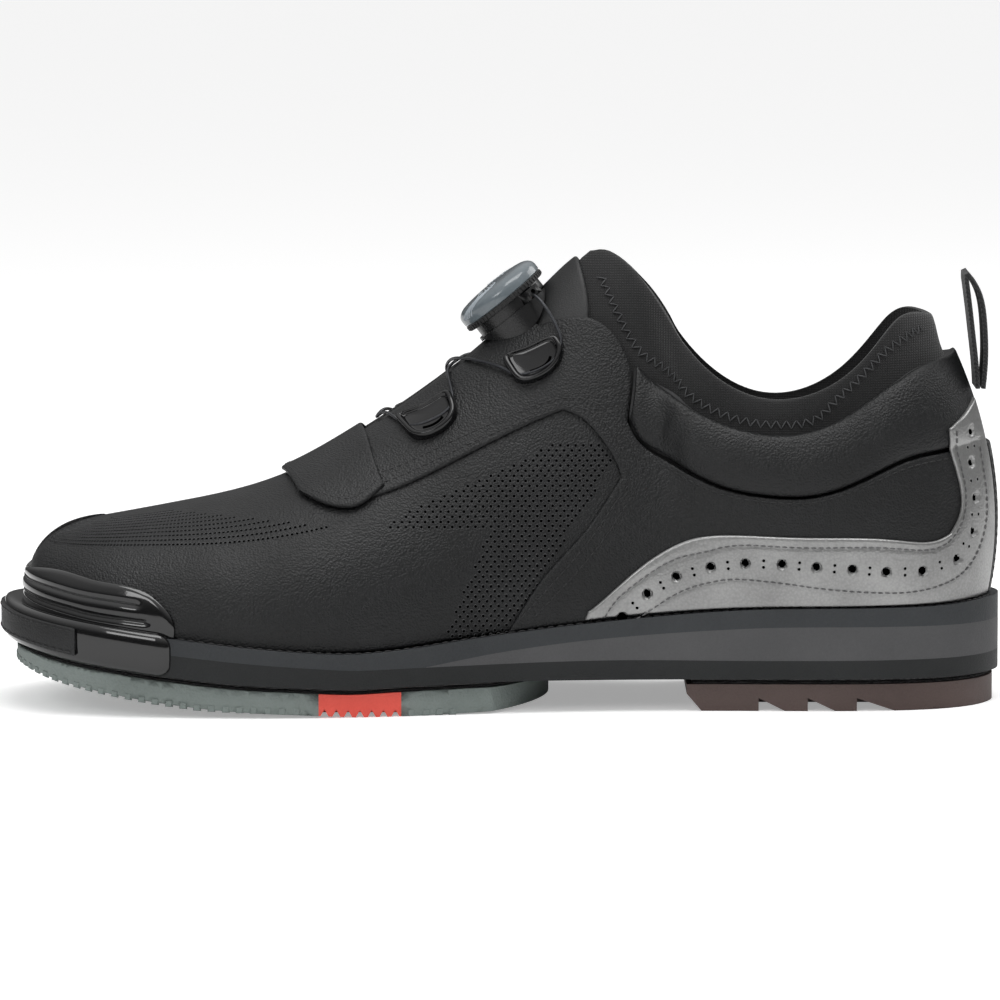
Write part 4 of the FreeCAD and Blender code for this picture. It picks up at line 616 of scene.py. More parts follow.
def panel(name, grids, inside, thickness, material, sides=(-1, 1), rounding=0.9, seams=(),
          seam_depth=0.22, puff=None, holes=()):
    """Leather panel laid on the surface: cut edges rounded, seams pressed in, holes punched."""
    sheet = bmesh.new()
    u_layer = sheet.verts.layers.float.new("u")
    t_layer = sheet.verts.layers.float.new("t")
    for side in sides:
        for grid in grids:
            u, t = on_side(grid[..., 0], side), grid[..., 1]
            places = rib_point(u, t)
            corner = [[sheet.verts.new(point) for point in line] for line in places]
            for i, line in enumerate(corner):
                for j, vert in enumerate(line):
                    vert[u_layer], vert[t_layer] = u[i, j], t[i, j]
            for i in range(len(corner) - 1):
                for j in range(len(corner[0]) - 1):
                    ring = [corner[i][j], corner[i + 1][j], corner[i + 1][j + 1], corner[i][j + 1]]
                    sheet.faces.new(ring if side < 0 else ring[::-1])
    bmesh.ops.remove_doubles(sheet, verts=sheet.verts, dist=0.03)
    sheet.verts.index_update()
    u = np.array([vert[u_layer] for vert in sheet.verts])
    t = np.array([vert[t_layer] for vert in sheet.verts])
    faces = [[vert.index for vert in face.verts] for face in sheet.faces]
    rims = [edge for edge in sheet.edges if len(edge.link_faces) == 1]
    rim_walls, rim_points = [], []
    for edge in rims:
        loop = edge.link_loops[0]
        rim_walls.append((loop.link_loop_next.vert.index, loop.vert.index))
        a, b = edge.verts[0].co, edge.verts[1].co
        pieces = max(int((a - b).length / 0.4), 1)
        rim_points += [a.lerp(b, k / pieces) for k in range(pieces)]
    base = rib_point(u, t)
    normal = surface_normal(u, t)
    sheet.free()
    distance = near_distance(base, rim_points)
    share = np.clip(distance / rounding, 0.0, 1.0)
    top = thickness * (0.4 + 0.6 * np.sqrt(1 - (1 - share) ** 2))
    for seam in seams:
        top -= seam_depth * np.exp(-(near_distance(base, seam) / 0.9) ** 2)
    for centres, radius, depth in holes:
        gap = near_distance(base, centres)
        top -= depth * (1 - smooth_step((gap - radius * 0.8) / (radius * 0.35)))
    low = np.full(len(base), float(inside))
    if puff is not None:
        low = low + puff(u, t, base)
    outer = base + normal * (low + top)[:, None]
    inner = base + normal * low[:, None]
    count = len(base)
    faces += [[index + count for index in face[::-1]] for face in faces]
    faces += [[a, b, b + count, a + count] for a, b in rim_walls]
    return new_piece(name, np.concatenate([outer, inner]), faces, material)


def rib(u, t_first, t_last):
    """Line up the side at one place round the shoe."""
    return [(u, t_first), (u, t_last)]


def run(u_first, u_last, t):
    """Line along the shoe at one share of the height."""
    return [(u_first, t), (u_last, t)]


def leather_hide(nodes, links, entry, place):
    """Pebbled grain: rounded cells of two sizes with fine creases between them."""
    warp = texture(nodes, links, "Noise", place, 220.0)
    shift = nodes.new("ShaderNodeMix")
    shift.data_type = "VECTOR"
    shift.inputs["Factor"].default_value = 0.0005
    links.new(place, shift.inputs[4])
    links.new(warp.outputs["Color"], shift.inputs[5])
    cells = nodes.new("ShaderNodeTexVoronoi")
    cells.feature = "SMOOTH_F1"
    cells.inputs["Smoothness"].default_value = 0.35
    links.new(shift.outputs[1], cells.inputs["Vector"])
    links.new(entry.outputs["Scale"], cells.inputs["Scale"])
    pores = texture(nodes, links, "Noise", place, 2600.0, Detail=2.0)
    dome = calculated(nodes, links, "MULTIPLY_ADD", cells.outputs["Distance"], -1.0, 1.0)
    return calculated(nodes, links, "MULTIPLY_ADD", pores.outputs["Fac"], 0.25, dome), dome


hide = shade_group("leather_hide", leather_hide)
black_leather = finish("black_leather", (0.003, 0.0032, 0.0034), (0.009, 0.0095, 0.0102), 0.36,
                       0.56, hide, 1500.0, 0.55, Specular_IOR_Level=0.4)

SOLE_SEAT = 0.004
THROAT_U = 5.3
WING_T = 0.72
WING_END_U = 8.6
VAMP_THICKNESS = 1.4
wing_left = rib(THROAT_U, SOLE_SEAT, WING_T)
wing_right = [(WING_END_U, SOLE_SEAT)] + side_line((32, 50), (41, 70), (35, 84.5), (24, 98))
wing_top = [(THROAT_U, WING_T)] + side_line((-36, 76), (-6, 92)) + [wing_right[-1]]
toe_ups, crest_ups = spaced(58.0, 1.7), spaced(22.0, 1.7)
toe_shares, wing_shares = spaced(100.0, 1.7), spaced(90.0, 1.7)
vamp_grids = [
    patch(run(0, THROAT_U, SOLE_SEAT), wing_left, run(0, THROAT_U, WING_T),
          rib(0, SOLE_SEAT, WING_T), toe_shares, toe_ups),
    patch(run(0, THROAT_U, WING_T), rib(THROAT_U, WING_T, 1), run(0, THROAT_U, 1),
          rib(0, WING_T, 1), toe_shares, crest_ups),
    patch(run(THROAT_U, WING_END_U, SOLE_SEAT), wing_right, wing_top, wing_left, wing_shares,
          toe_ups),
]
vamp = panel("vamp_leather", vamp_grids, -VAMP_THICKNESS, VAMP_THICKNESS, black_leather)
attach(vamp, "shoe")
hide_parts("vamp")

# Punched holes: each one is a small cup with a near-black floor of painted shade, in a soft rim
# where the punch turned the grain.
HOLE_CORNERS = 9
HOLE_RADIUS = 0.5
HOLE_RINGS = ((1.3, -0.02), (1.12, 0.06), (0.92, 0.05), (0.8, 0.015))
# Near-black and without gloss: painted shade standing in for the dark inside of holes and slots.
painted_shade_black = finish("painted_shade_hollow", (0.0004, 0.0004, 0.0004), (0.001, 0.001, 0.001), 0.8, 0.95,
                   moulding, 3000.0, 0.2, Specular_IOR_Level=0.0)
# Lighter and glossier than the leather: a painted highlight round each hole's rim.
hole_rim_painted_highlight = finish("hole_rim_painted_highlight", (0.012, 0.0125, 0.013), (0.035, 0.036, 0.038), 0.22, 0.34, moulding,
                  3000.0, 0.2)


def punched(name, centres, normals, radius, material):
    """Shallow cups with near-black floors of painted shade, one at each centre, each in a soft
    raised rim of leather in the given material.
    """
    points, faces, dark = [], [], []
    for centre, normal in zip(centres, normals):
        side = np.cross(normal, (0.13, 0.31, 0.94))
        side = side / np.linalg.norm(side)
        other = np.cross(normal, side)
        first = len(points)
        for reach, height in HOLE_RINGS:
            for k in range(HOLE_CORNERS):
                angle = 2 * math.pi * k / HOLE_CORNERS
                points.append(centre + (side * math.cos(angle) + other * math.sin(angle))
                              * (radius * reach) + normal * height)
        faces += walls(first, len(HOLE_RINGS), HOLE_CORNERS)
        # The inner wall and the floor of each cup take the near-black painted shade.
        dark += range(len(faces) - HOLE_CORNERS, len(faces) + 1)
        faces.append(list(range(len(points) - HOLE_CORNERS, len(points))))
    piece = new_piece(name, points, faces, material)
    piece.data.materials.append(painted_shade_black)
    for index in dark:
        piece.data.polygons[index].material_index = 1
    return piece


# Toe field: rows set half a step apart, each ending a little sooner than the one below it.
TOE_ROWS, TOE_COLUMNS, TOE_STEP, TOE_RISE = 11, 96, 0.062, 0.032
holes = []
for row in range(TOE_ROWS):
    for column in range(TOE_COLUMNS):
        u = 0.12 + column * TOE_STEP + (row % 2) * TOE_STEP / 2
        t = 0.53 + row * TOE_RISE - 0.012 * u
        if 0.4 < u < 5.6 - 0.25 * row and t < 0.92 - 0.02 * (6 - u):
            holes.append((u, t))
# Wing field: rows in side view, cut off where the wing narrows towards the throat and the sole.
WING_ROWS, WING_COLUMNS, WING_STEP, WING_RISE = 46, 60, 2.35, 1.5
for row in range(WING_ROWS):
    for column in range(WING_COLUMNS):
        x, z = -38 + column * WING_STEP + (row % 2) * 1.17, 24 + row * WING_RISE
        left_limit = -22 + (z - 27) * 0.35 if z < 56 else -36 + (z - 56) * 1.1
        right_limit = 4 + (z - 27) * 0.62
        if not left_limit < x < right_limit or z > 82 - 0.45 * max(18 - x, 0):
            continue
        fade = (x - left_limit) / max(right_limit - left_limit, 1.0)
        if z < 56 and fade < 0.25:
            continue
        holes.append(place_on_side(x, z))
hole_u, hole_t = np.array(holes, float).T
# Each vamp hole: a floor of painted shade inside a rim with a painted highlight.
for label, side in SIDES:
    side_u = on_side(hole_u, side)
    cups = punched("vamp_holes_" + label, on_shoe(side_u, hole_t, 0.02),
                   surface_normal(side_u, hole_t), HOLE_RADIUS, hole_rim_painted_highlight)
    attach(cups, "shoe")

# ---------------------------------------------------------------------------
# Bootie and tongue
# ---------------------------------------------------------------------------
# A stretch bootie of foam-backed knit lines the whole shoe and stands out of the collar, where
# its edge is turned and sewn down with a zigzag stitch. A smooth black tongue panel is bonded
# over its instep, under the dial.


def knit_cloth(nodes, links, entry, place):
    """Fine rib of a stretch knit: crossed waves, broken up a little."""
    waves = []
    for direction in ("X", "Z"):
        wave = texture(nodes, links, "Wave", place, entry.outputs["Scale"], Distortion=0.6)
        wave.bands_direction = direction
        waves.append(wave.outputs["Fac"])
    ribs = calculated(nodes, links, "MULTIPLY", *waves)
    return ribs, ribs


knit = shade_group("knit_cloth", knit_cloth)
bootie_finish = finish("bootie_knit", (0.0025, 0.0026, 0.0028), (0.009, 0.009, 0.0095), 0.72, 0.92,
                       knit, 420.0, 0.4, Sheen_Weight=0.25, Sheen_Roughness=0.5)
TOP_POINTS = [(41.5, 104.5), (49, 98.5), (61, 90.8), (73, 86.2), (82, 84.5), (91, 84.8),
              (101, 87.8), (110, 93), (119, 99.2), (127, 104)]
HEEL_SEAM_U = 15.97
collar_top = along_line(side_line(*TOP_POINTS) + [(HEEL_SEAM_U, 0.86)])(np.linspace(0, 1, 26))
leather_top_u = np.concatenate([[9.2, 9.7], collar_top[:, 0]])
leather_top_t = np.concatenate([[0.6, 0.72], collar_top[:, 1]])
BOOTIE_OUT = -2.5
BOOTIE_THICKNESS = 1.8
BOOTIE_RISE = 1.9


def bootie_rise(u, t, base=None):
    """The bootie lies inside the leather, and comes out to it above the leather's top edge."""
    front = nearness_to_front(u)
    top = np.interp(front, leather_top_u, leather_top_t) + 0.01
    share = smooth_step((t - top) / (1 - top)) * smooth_step((front - 9.2) / 0.6)
    return BOOTIE_RISE * share


bootie_ups = spaced(100.0, 2.2)
bootie_grids = [
    patch(run(0, RIDGE_END, SOLE_SEAT), rib(RIDGE_END, SOLE_SEAT, 1), run(0, RIDGE_END, 1),
          rib(0, SOLE_SEAT, 1), spaced(190.0, 3.0, False), bootie_ups),
    patch(run(RIDGE_END, HEEL, SOLE_SEAT), rib(HEEL, SOLE_SEAT, 1), run(RIDGE_END, HEEL, 1),
          rib(RIDGE_END, SOLE_SEAT, 1), spaced(130.0, 1.6, False), bootie_ups),
]
# The sewn line of the turned edge, a little below it.
hem_places = side_line((31.0, 132), (37.2, 119.8), (43.2, 109), (49.4, 103.8), (61.8, 93.6),
                       (71.1, 89.9), (83.4, 88.0), (92.7, 88.3), (98.9, 91.4), (105.1, 97.6),
                       (117.4, 109.2), (123.6, 113.2), (131.3, 116.4))
HEM_LINE = [(u, min(t, 0.985)) for u, t in hem_places]
hem_seams = [line_on_layer(HEM_LINE, 0.0, side)[0] for side in (-1, 1)]
bootie = panel("bootie_knit", bootie_grids, BOOTIE_OUT - BOOTIE_THICKNESS, BOOTIE_THICKNESS,
               bootie_finish, rounding=1.6, puff=bootie_rise, seams=hem_seams, seam_depth=0.3)
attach(bootie, "shoe")
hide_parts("bootie")


def threads(name, ways, radius, material, arch=0.12):
    """Stitches: a short round thread from each first point to its second, a little arched."""
    corners, rings = 6, 4
    points, faces = [], []
    for start, end, normal in ways:
        start, end, normal = np.asarray(start), np.asarray(end), np.asarray(normal)
        forward = unit(end - start)
        side = unit(np.cross(forward, normal))
        up = np.cross(side, forward)
        first = len(points)
        for ring in range(rings):
            share = ring / (rings - 1)
            bow = math.sin(math.pi * share)
            thick = radius * (0.45 + 0.55 * bow)
            middle = start + (end - start) * share + up * (arch * bow)
            for k in range(corners):
                angle = 2 * math.pi * k / corners
                points.append(middle + side * (thick * math.cos(angle))
                              + up * (thick * math.sin(angle)))
        faces += [face[:1] + face[:0:-1] for face in closed_walls(first, rings, corners)]
    return new_piece(name, points, faces, material, angle=1.2)


def travel(points):
    """Distance along a line, from its first point to each of its points."""
    return np.concatenate([[0.0], np.cumsum(np.linalg.norm(np.diff(points, axis=0), axis=1))])


def at_distance(where, distance, values):
    """Values of a line at places given as distances along it."""
    return np.stack([np.interp(where, distance, values[:, k]) for k in range(3)], -1)


def stitch_ways(points, normals, pitch, length):
    """Start, end and normal of each stitch along a line of points."""
    distance = travel(points)
    starts = np.arange(0.3, distance[-1] - length, pitch)
    return list(zip(at_distance(starts, distance, points),
                    at_distance(starts + length, distance, points),
                    unit(at_distance(starts + length / 2, distance, normals))))


def zigzag_ways(points, normals, pitch, width):
    """Start, end and normal of each thread of a zigzag along a line of points."""
    distance = travel(points)
    starts = np.arange(0.0, distance[-1] - pitch, pitch)
    middle = at_distance(starts, distance, points)
    normal = unit(at_distance(starts, distance, normals))
    along = unit(at_distance(starts + 0.5, distance, points) - middle)
    side = np.cross(normal, along) * (width / 2)
    side[::2] *= -1
    corners = middle + side
    return list(zip(corners[:-1], corners[1:], normal[:-1]))


hem_thread = finish("hem_thread", (0.035, 0.036, 0.038), (0.07, 0.071, 0.074), 0.5, 0.65, moulding,
                    6000.0, 0.3)
ZIGZAG_PITCH, ZIGZAG_WIDTH = 1.55, 2.6
for label, side in SIDES:
    hem_points, hem_normals = line_on_layer(
        HEM_LINE, lambda u, t: BOOTIE_OUT + bootie_rise(u, t) + 0.08, side)
    zigzag = threads("hem_zigzag_" + label,
                     zigzag_ways(hem_points, hem_normals, ZIGZAG_PITCH, ZIGZAG_WIDTH), 0.24,
                     hem_thread, 0.08)
    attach(zigzag, "shoe")

tongue_finish = finish("tongue_smooth", (0.0025, 0.0027, 0.003), (0.008, 0.0085, 0.009), 0.42, 0.6,
                       moulding, 2200.0, 0.25)
TONGUE_U, TONGUE_END_U = THROAT_U + 0.06, 9.45
tongue_bottom = [(TONGUE_U, 0.78)] + side_line((-24, 86), (-4, 98), (12, 107), (26, 113))
tongue_right = [tongue_bottom[-1]] + side_line((27, 124)) + [(TONGUE_END_U, 1.0)]
tongue_grid = patch(tongue_bottom, tongue_right, run(TONGUE_U, TONGUE_END_U, 1),
                    rib(TONGUE_U, 0.78, 1), spaced(110.0, 1.8), spaced(22.0, 1.5))
tongue = panel("tongue_panel", [tongue_grid], -VAMP_THICKNESS, VAMP_THICKNESS, tongue_finish,
               rounding=1.0)
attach(tongue, "shoe")
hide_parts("tongue")

# ---------------------------------------------------------------------------
# Quarters and throat patch
# ---------------------------------------------------------------------------
# Each quarter is one panel of the same leather, with an arm that carries the cable guides. Its
# edges are skived, cemented and sewn down. A saddle of leather covers the front ends of both
# arms at the throat, and is sewn round its edge.
QUARTER_IN = 0.1
QUARTER_THICKNESS = 1.2
window_low = [(2.5, 27.6), (12.5, 40.5), (24.8, 54), (34, 67), (36.8, 71)]
window_low = side_line(*window_low)
window_low[0] = (window_low[0][0], SOLE_SEAT)
window_round = side_line((36.8, 71), (35.2, 76), (29, 85), (24, 89.6), (19, 91.4))
window_round[0] = window_low[-1]
window_top = side_line((-58, 64.5), (-45, 64.5), (-30, 68.5), (-12, 77), (0, 83), (19, 91.4))
window_top[-1] = window_round[-1]
SEAM_POINTS = [(38.4, 88.6), (45.6, 79), (61, 71), (79, 66), (94, 65.5), (110, 70.2), (128, 77.4),
               (139, 79)]
seam_line = side_line(*SEAM_POINTS) + [(HEEL_SEAM_U, 0.545)]
arm_top = [(5.25, 0.86), (6.6, 0.9), (8.2, 0.88)] + side_line((12.5, 116))
arm_left = [window_top[0], arm_top[0]]
arm_right = [window_top[-1]] + side_line((17, 104)) + [arm_top[-1]]
corner_top = [arm_top[-1]] + side_line((24.5, 119), (34.5, 114), (40, 102)) + [seam_line[0]]
corner_right = [window_low[-1], seam_line[0]]
corner_bottom = window_round[::-1]
body_middle = [window_low[-1], (11.6, 0.34), (13.6, 0.34), (HEEL_SEAM_U, 0.34)]
arm_ups, body_shares = spaced(26.0, 1.4), spaced(150.0, 1.8)
quarter_grids = [
    patch(window_top, arm_right, arm_top, arm_left, spaced(90.0, 1.6), arm_ups),
    patch(corner_bottom, corner_right, corner_top, arm_right, spaced(34.0, 1.4), arm_ups),
    patch(run(window_low[0][0], HEEL_SEAM_U, SOLE_SEAT), rib(HEEL_SEAM_U, SOLE_SEAT, 0.34),
          body_middle, window_low, body_shares, spaced(42.0, 1.8)),
    patch(body_middle, rib(HEEL_SEAM_U, 0.34, 0.545), seam_line, corner_right, body_shares,
          arm_ups),
]
EDGE_STITCH = side_line((-50, 67.2), (-38, 68.8), (-28, 72.2), (-10, 80.6), (3, 86.2), (16, 91.0),
                        (24, 92.2), (31, 88.4), (37.0, 80), (39.6, 71), (36, 65), (28, 53.6),
                        (14.5, 38.2), (5.5, 28.6))
EDGE_STITCH_TWO = side_line((-46, 70.4), (-38, 71.6), (-28, 75.2), (-10, 83.6), (2, 88.8),
                            (14, 93.6), (25, 94.8), (33.6, 90.4), (39.6, 81.4), (42.4, 71.4),
                            (38.4, 63.2), (30.6, 51.6), (17.4, 36.8), (9.0, 28.4))
thread_black = finish("black_thread", (0.006, 0.006, 0.0065), (0.022, 0.022, 0.023), 0.42, 0.6,
                      moulding, 6000.0, 0.3)
QUARTER_CREASE = side_line((38.6, 100), (37.6, 92), (39.5, 84), (44, 77.5))
QUARTER_STITCH = (2.5, 1.9)
THREAD_RADIUS = 0.26
for label, side in SIDES:
    seam_one, normal_one = line_on_layer(EDGE_STITCH, QUARTER_THICKNESS, side)
    seam_two, normal_two = line_on_layer(EDGE_STITCH_TWO, QUARTER_THICKNESS, side)
    crease = line_on_layer(QUARTER_CREASE, QUARTER_THICKNESS, side)[0]
    quarter = panel("quarter_leather_" + label, quarter_grids, QUARTER_IN, QUARTER_THICKNESS,
                    black_leather, sides=(side,), seams=(seam_one, seam_two, crease),
                    seam_depth=0.28)
    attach(quarter, "shoe")
    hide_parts("quarter_" + label)
    ways = (stitch_ways(seam_one, normal_one, *QUARTER_STITCH)
            + stitch_ways(seam_two, normal_two, *QUARTER_STITCH))
    sewing = threads("quarter_stitches_" + label, ways, THREAD_RADIUS, thread_black, 0.1)
    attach(sewing, "shoe")

OVERLAY_IN = 1.4
OVERLAY_THICKNESS = 1.1
THROAT_FRONT_U, THROAT_BACK_U = 4.9, 6.2
throat_bottom = side_line((-61, 65.5), (-54.5, 63), (-47.5, 61.8), (-41.5, 63.2), (-35, 68.5))
throat_left = [throat_bottom[0], (5.05, 0.83), (THROAT_FRONT_U, 1.0)]
throat_right = ([throat_bottom[-1]] + side_line((-38, 75.5))
                + [(THROAT_BACK_U, 0.86), (THROAT_BACK_U, 1.0)])
throat_grid = patch(throat_bottom, throat_right, run(THROAT_FRONT_U, THROAT_BACK_U, 1),
                    throat_left, spaced(28.0, 1.2), spaced(34.0, 1.2))
THROAT_STITCH = ([(4.97, 0.985), (5.12, 0.84)]
                 + side_line((-58.8, 66.8), (-54, 65.0), (-47.5, 63.9), (-42.4, 65.2),
                             (-37.4, 69.2)))
throat_seams, throat_ways = [], []
for side in (-1, 1):
    seam, normal = line_on_layer(THROAT_STITCH, OVERLAY_IN + 1.0, side)
    throat_seams.append(seam)
    throat_ways += stitch_ways(seam, normal, 2.4, 1.8)
throat = panel("throat_saddle", [throat_grid], OVERLAY_IN, OVERLAY_THICKNESS, black_leather,
               seams=throat_seams, seam_depth=0.25)
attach(throat, "shoe")
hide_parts("throat_patch")
throat_sewing = threads("throat_stitches", throat_ways, THREAD_RADIUS, thread_black, 0.1)
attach(throat_sewing, "shoe")

# ---------------------------------------------------------------------------
# Padded collar
# ---------------------------------------------------------------------------
# A roll of open-cell foam runs round the ankle under a leather skin, sewn to the quarter below
# and to the bootie above. The skin is drawn in at both seams, and creases a little at the sides
# where the shoe flexes.
collar_seam = [(u, t + 0.012) for u, t in seam_line]
collar_seam[0] = (collar_seam[0][0] + 0.06, seam_line[0][1])
collar_rim = side_line(*TOP_POINTS) + [(HEEL_SEAM_U, 0.86)]
collar_grid = patch(collar_seam, [collar_seam[-1], (HEEL_SEAM_U, 0.86)], collar_rim,
                    [collar_seam[0], collar_rim[0]], spaced(130.0, 1.5), spaced(30.0, 1.1))
seam_fine = along_line(collar_seam)(np.linspace(0, 1, 300))
rim_fine = along_line(collar_rim)(np.linspace(0, 1, 300))
COLLAR_SWELL = 2.6
# Creases of the collar: x at the seam, lean, depth and width.
COLLAR_CREASES = ((50, 0.55, 0.5, 2.2), (56.5, 0.35, 0.32, 1.8), (88, 0.1, 0.22, 2.6),
                  (112, -0.3, 0.34, 2.2))


def collar_swell(u, t, base=None):
    """How far the roll stands out at a place; the creases are left out without its points."""
    front = nearness_to_front(u)
    near = np.interp(front, seam_fine[:, 0], seam_fine[:, 1])
    far = np.interp(front, rim_fine[:, 0], rim_fine[:, 1])
    share = np.clip((t - near) / (far - near), 0.0, 1.0)
    arch = np.sin(math.pi * share)
    swell = COLLAR_SWELL * arch ** 0.6 * (1 - smooth_step((front - 14.6) / 1.1))
    fold = 0.0
    if base is not None:
        for place, lean, depth, width in COLLAR_CREASES:
            line = base[:, 0] - place - lean * (base[:, 2] - 85)
            fold = fold + depth * np.exp(-(line / width) ** 2) * arch
    return np.maximum(swell - fold, 0.0)


def recoloured(node, material):
    """Gives a node of the solid model, which is shown as it is, its own finish."""
    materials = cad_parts[node].data.materials
    materials.clear()
    materials.append(material)


SEAM_STITCH = [(u, t - 0.022) for u, t in seam_line[1:-1]] + [(15.5, 0.51)]
for label, side in SIDES:
    collar = panel("collar_roll_" + label, [collar_grid], QUARTER_IN, QUARTER_THICKNESS,
                   black_leather, sides=(side,), rounding=1.4, puff=collar_swell)
    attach(collar, "shoe")
    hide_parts("collar_leather_" + label)
    seam, normal = line_on_layer(SEAM_STITCH, QUARTER_THICKNESS + 0.05, side)
    sewing = threads("collar_stitches_" + label, stitch_ways(seam, normal, 2.6, 2.0),
                     THREAD_RADIUS, thread_black, 0.1)
    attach(sewing, "shoe")
foam_finish = finish("collar_foam", (0.03, 0.03, 0.031), (0.06, 0.06, 0.061), 0.8, 0.95, moulding,
                     1500.0, 0.5)
recoloured("collar_foam", foam_finish)

# ---------------------------------------------------------------------------
# Heel overlays and stay
# ---------------------------------------------------------------------------
# Metallic grey leather wraps the heel and climbs to the collar on each side. Along its edge
# run a row of stitches, a row of large punched holes with pairs of small ones between them,
# and an inner stitched line, as on a brogue. A plain black strip covers the join at the back.
OVERLAY_SEAT = 0.012
OVERLAY_FRONT_U, CORNER_U, STAY_U = 8.95, 14.62, 15.62
BIG_HOLE_RADIUS, SMALL_HOLE_RADIUS = 1.45, 0.52
overlay_corner = place_on_side(136.5, 54)
overlay_low = run(OVERLAY_FRONT_U, CORNER_U, OVERLAY_SEAT)
overlay_top = ([(OVERLAY_FRONT_U + 0.04, OVERLAY_SEAT + 0.02)]
               + side_line((30, 33.5), (42, 43.8), (55, 51.6), (79, 54.2), (106, 53.6), (127, 52))
               + [overlay_corner])
overlay_left = [overlay_low[0], overlay_top[0]]
overlay_middle = [overlay_low[-1], overlay_top[-1]]
strip_left = [overlay_corner] + side_line((140, 63.5), (137, 77), (135, 85))
strip_top = [strip_left[-1], (15.2, 0.645), (STAY_U, 0.68)]
brogue_ups, strip_shares = spaced(24.0, 0.42), spaced(12.0, 0.42)
overlay_grids = [
    patch(overlay_low, overlay_middle, overlay_top, overlay_left, spaced(120.0, 0.45), brogue_ups),
    patch(run(CORNER_U, STAY_U, OVERLAY_SEAT), rib(STAY_U, OVERLAY_SEAT, 0.26),
          [overlay_corner, (STAY_U, 0.26)], overlay_middle, strip_shares, brogue_ups),
    patch([overlay_corner, (STAY_U, 0.26)], rib(STAY_U, 0.26, 0.68), strip_top, strip_left,
          strip_shares, spaced(34.0, 0.45)),
]
silver_leather = finish("silver_leather", (0.235, 0.235, 0.233), (0.40, 0.40, 0.396), 0.27, 0.42,
                        hide, 1300.0, 0.16, Metallic=0.75)
BIG_HOLES = [(37.1, 29.5), (44.8, 36.4), (53.8, 41.6), (64.3, 44.7), (74.8, 46.0), (85.9, 45.8),
             (96.4, 44.9), (107.2, 44.2), (117.4, 43.3), (128.2, 43.3), (138.4, 46.4),
             (143.2, 54.2), (143.8, 64.1), (142.6, 74.6), (141.9, 83.8)]
EDGE_ROW = [(31.5, 29.0), (35.2, 34.4), (42.4, 40.4), (54.6, 47.2), (64.0, 49.6), (79, 51.4),
            (106, 50.8), (127, 49.6), (136.6, 52.4), (140.6, 60.4), (140.2, 70), (138, 79),
            (136.8, 86)]
INNER_ROW = [(41.0, 28.4), (47, 32.2), (55, 37.0), (66, 40.4), (74.8, 41.0), (87, 39.8),
             (99, 38.2), (120, 36.8), (134, 38.8), (141.4, 43.2), (145.8, 51), (147.4, 60),
             (146.6, 70), (145, 80)]
silver_thread = finish("grey_thread", (0.08, 0.08, 0.082), (0.16, 0.16, 0.163), 0.4, 0.6, moulding,
                       6000.0, 0.3)


def overlay_swell(u, t, base=None):
    """The overlay lies over the collar roll, without its creases."""
    return collar_swell(u, t)


# Two small holes stand side by side between each big hole and the next one.
big_u, big_t = np.array(side_line(*BIG_HOLES)).T
small_places = []
for first, second in zip(BIG_HOLES, BIG_HOLES[1:]):
    middle = ((first[0] + second[0]) / 2, (first[1] + second[1]) / 2)
    along = Vector((second[0] - first[0], second[1] - first[1])).normalized()
    for shift in (-1.0, 1.0):
        small_places.append(place_on_side(middle[0] - along.y * shift,
                                          middle[1] + along.x * shift))
small_u, small_t = np.array(small_places, float).T
for label, side in SIDES:
    round_u, prick_u = on_side(big_u, side), on_side(small_u, side)
    rows, ways = [], []
    for row in (EDGE_ROW, INNER_ROW):
        line = side_line(*row)
        rows.append(line_on_layer(line, 0.0, side, 300)[0])
        top, normal = line_on_layer(line, lambda u, t: OVERLAY_IN + 1.08 + overlay_swell(u, t),
                                    side, 300)
        ways += stitch_ways(top, normal, 2.2, 1.6)
    overlay = panel("heel_overlay_leather_" + label, overlay_grids, OVERLAY_IN,
                    OVERLAY_THICKNESS, silver_leather, sides=(side,), seams=rows, seam_depth=0.2,
                    puff=overlay_swell,
                    holes=((on_shoe(round_u, big_t, 0.0), BIG_HOLE_RADIUS, 1.0),))
    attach(overlay, "shoe")
    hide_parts("heel_overlay_" + label)
    sewing = threads("heel_stitches_" + label, ways, 0.22, silver_thread, 0.1)
    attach(sewing, "shoe")
    # Under each big hole a near-black disc: painted shade for the dark inside of the hole.
    low = OVERLAY_IN + 0.16 + overlay_swell(round_u, big_t)
    hole_shade_discs = punched("brogue_hole_shade_" + label, on_shoe(round_u, big_t, low),
                     surface_normal(round_u, big_t), BIG_HOLE_RADIUS - 0.07, painted_shade_black)
    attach(hole_shade_discs, "shoe")
    # Small holes: silver rims round near-black floors of painted shade.
    high = OVERLAY_IN + OVERLAY_THICKNESS + overlay_swell(prick_u, small_t)
    pricks = punched("brogue_pricks_" + label, on_shoe(prick_u, small_t, high),
                     surface_normal(prick_u, small_t), SMALL_HOLE_RADIUS, silver_leather)
    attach(pricks, "shoe")

stay_grid = patch(run(STAY_U + 0.03, HEEL, OVERLAY_SEAT), rib(HEEL, OVERLAY_SEAT, 0.52),
                  run(STAY_U + 0.03, HEEL, 0.52), rib(STAY_U + 0.03, OVERLAY_SEAT, 0.52),
                  spaced(9.0, 1.0), spaced(48.0, 1.4))
stay = panel("heel_stay_leather", [stay_grid], OVERLAY_IN, OVERLAY_THICKNESS, black_leather)
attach(stay, "shoe")
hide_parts("heel_stay")
stay_ways = []
for side in (-1, 1):
    seam, normal = line_on_layer([(STAY_U + 0.12, 0.05), (STAY_U + 0.12, 0.49)], OVERLAY_IN + 1.08,
                                 side)
    stay_ways += stitch_ways(seam, normal, 2.6, 2.0)
stay_sewing = threads("stay_stitches", stay_ways, 0.24, thread_black, 0.1)
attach(stay_sewing, "shoe")

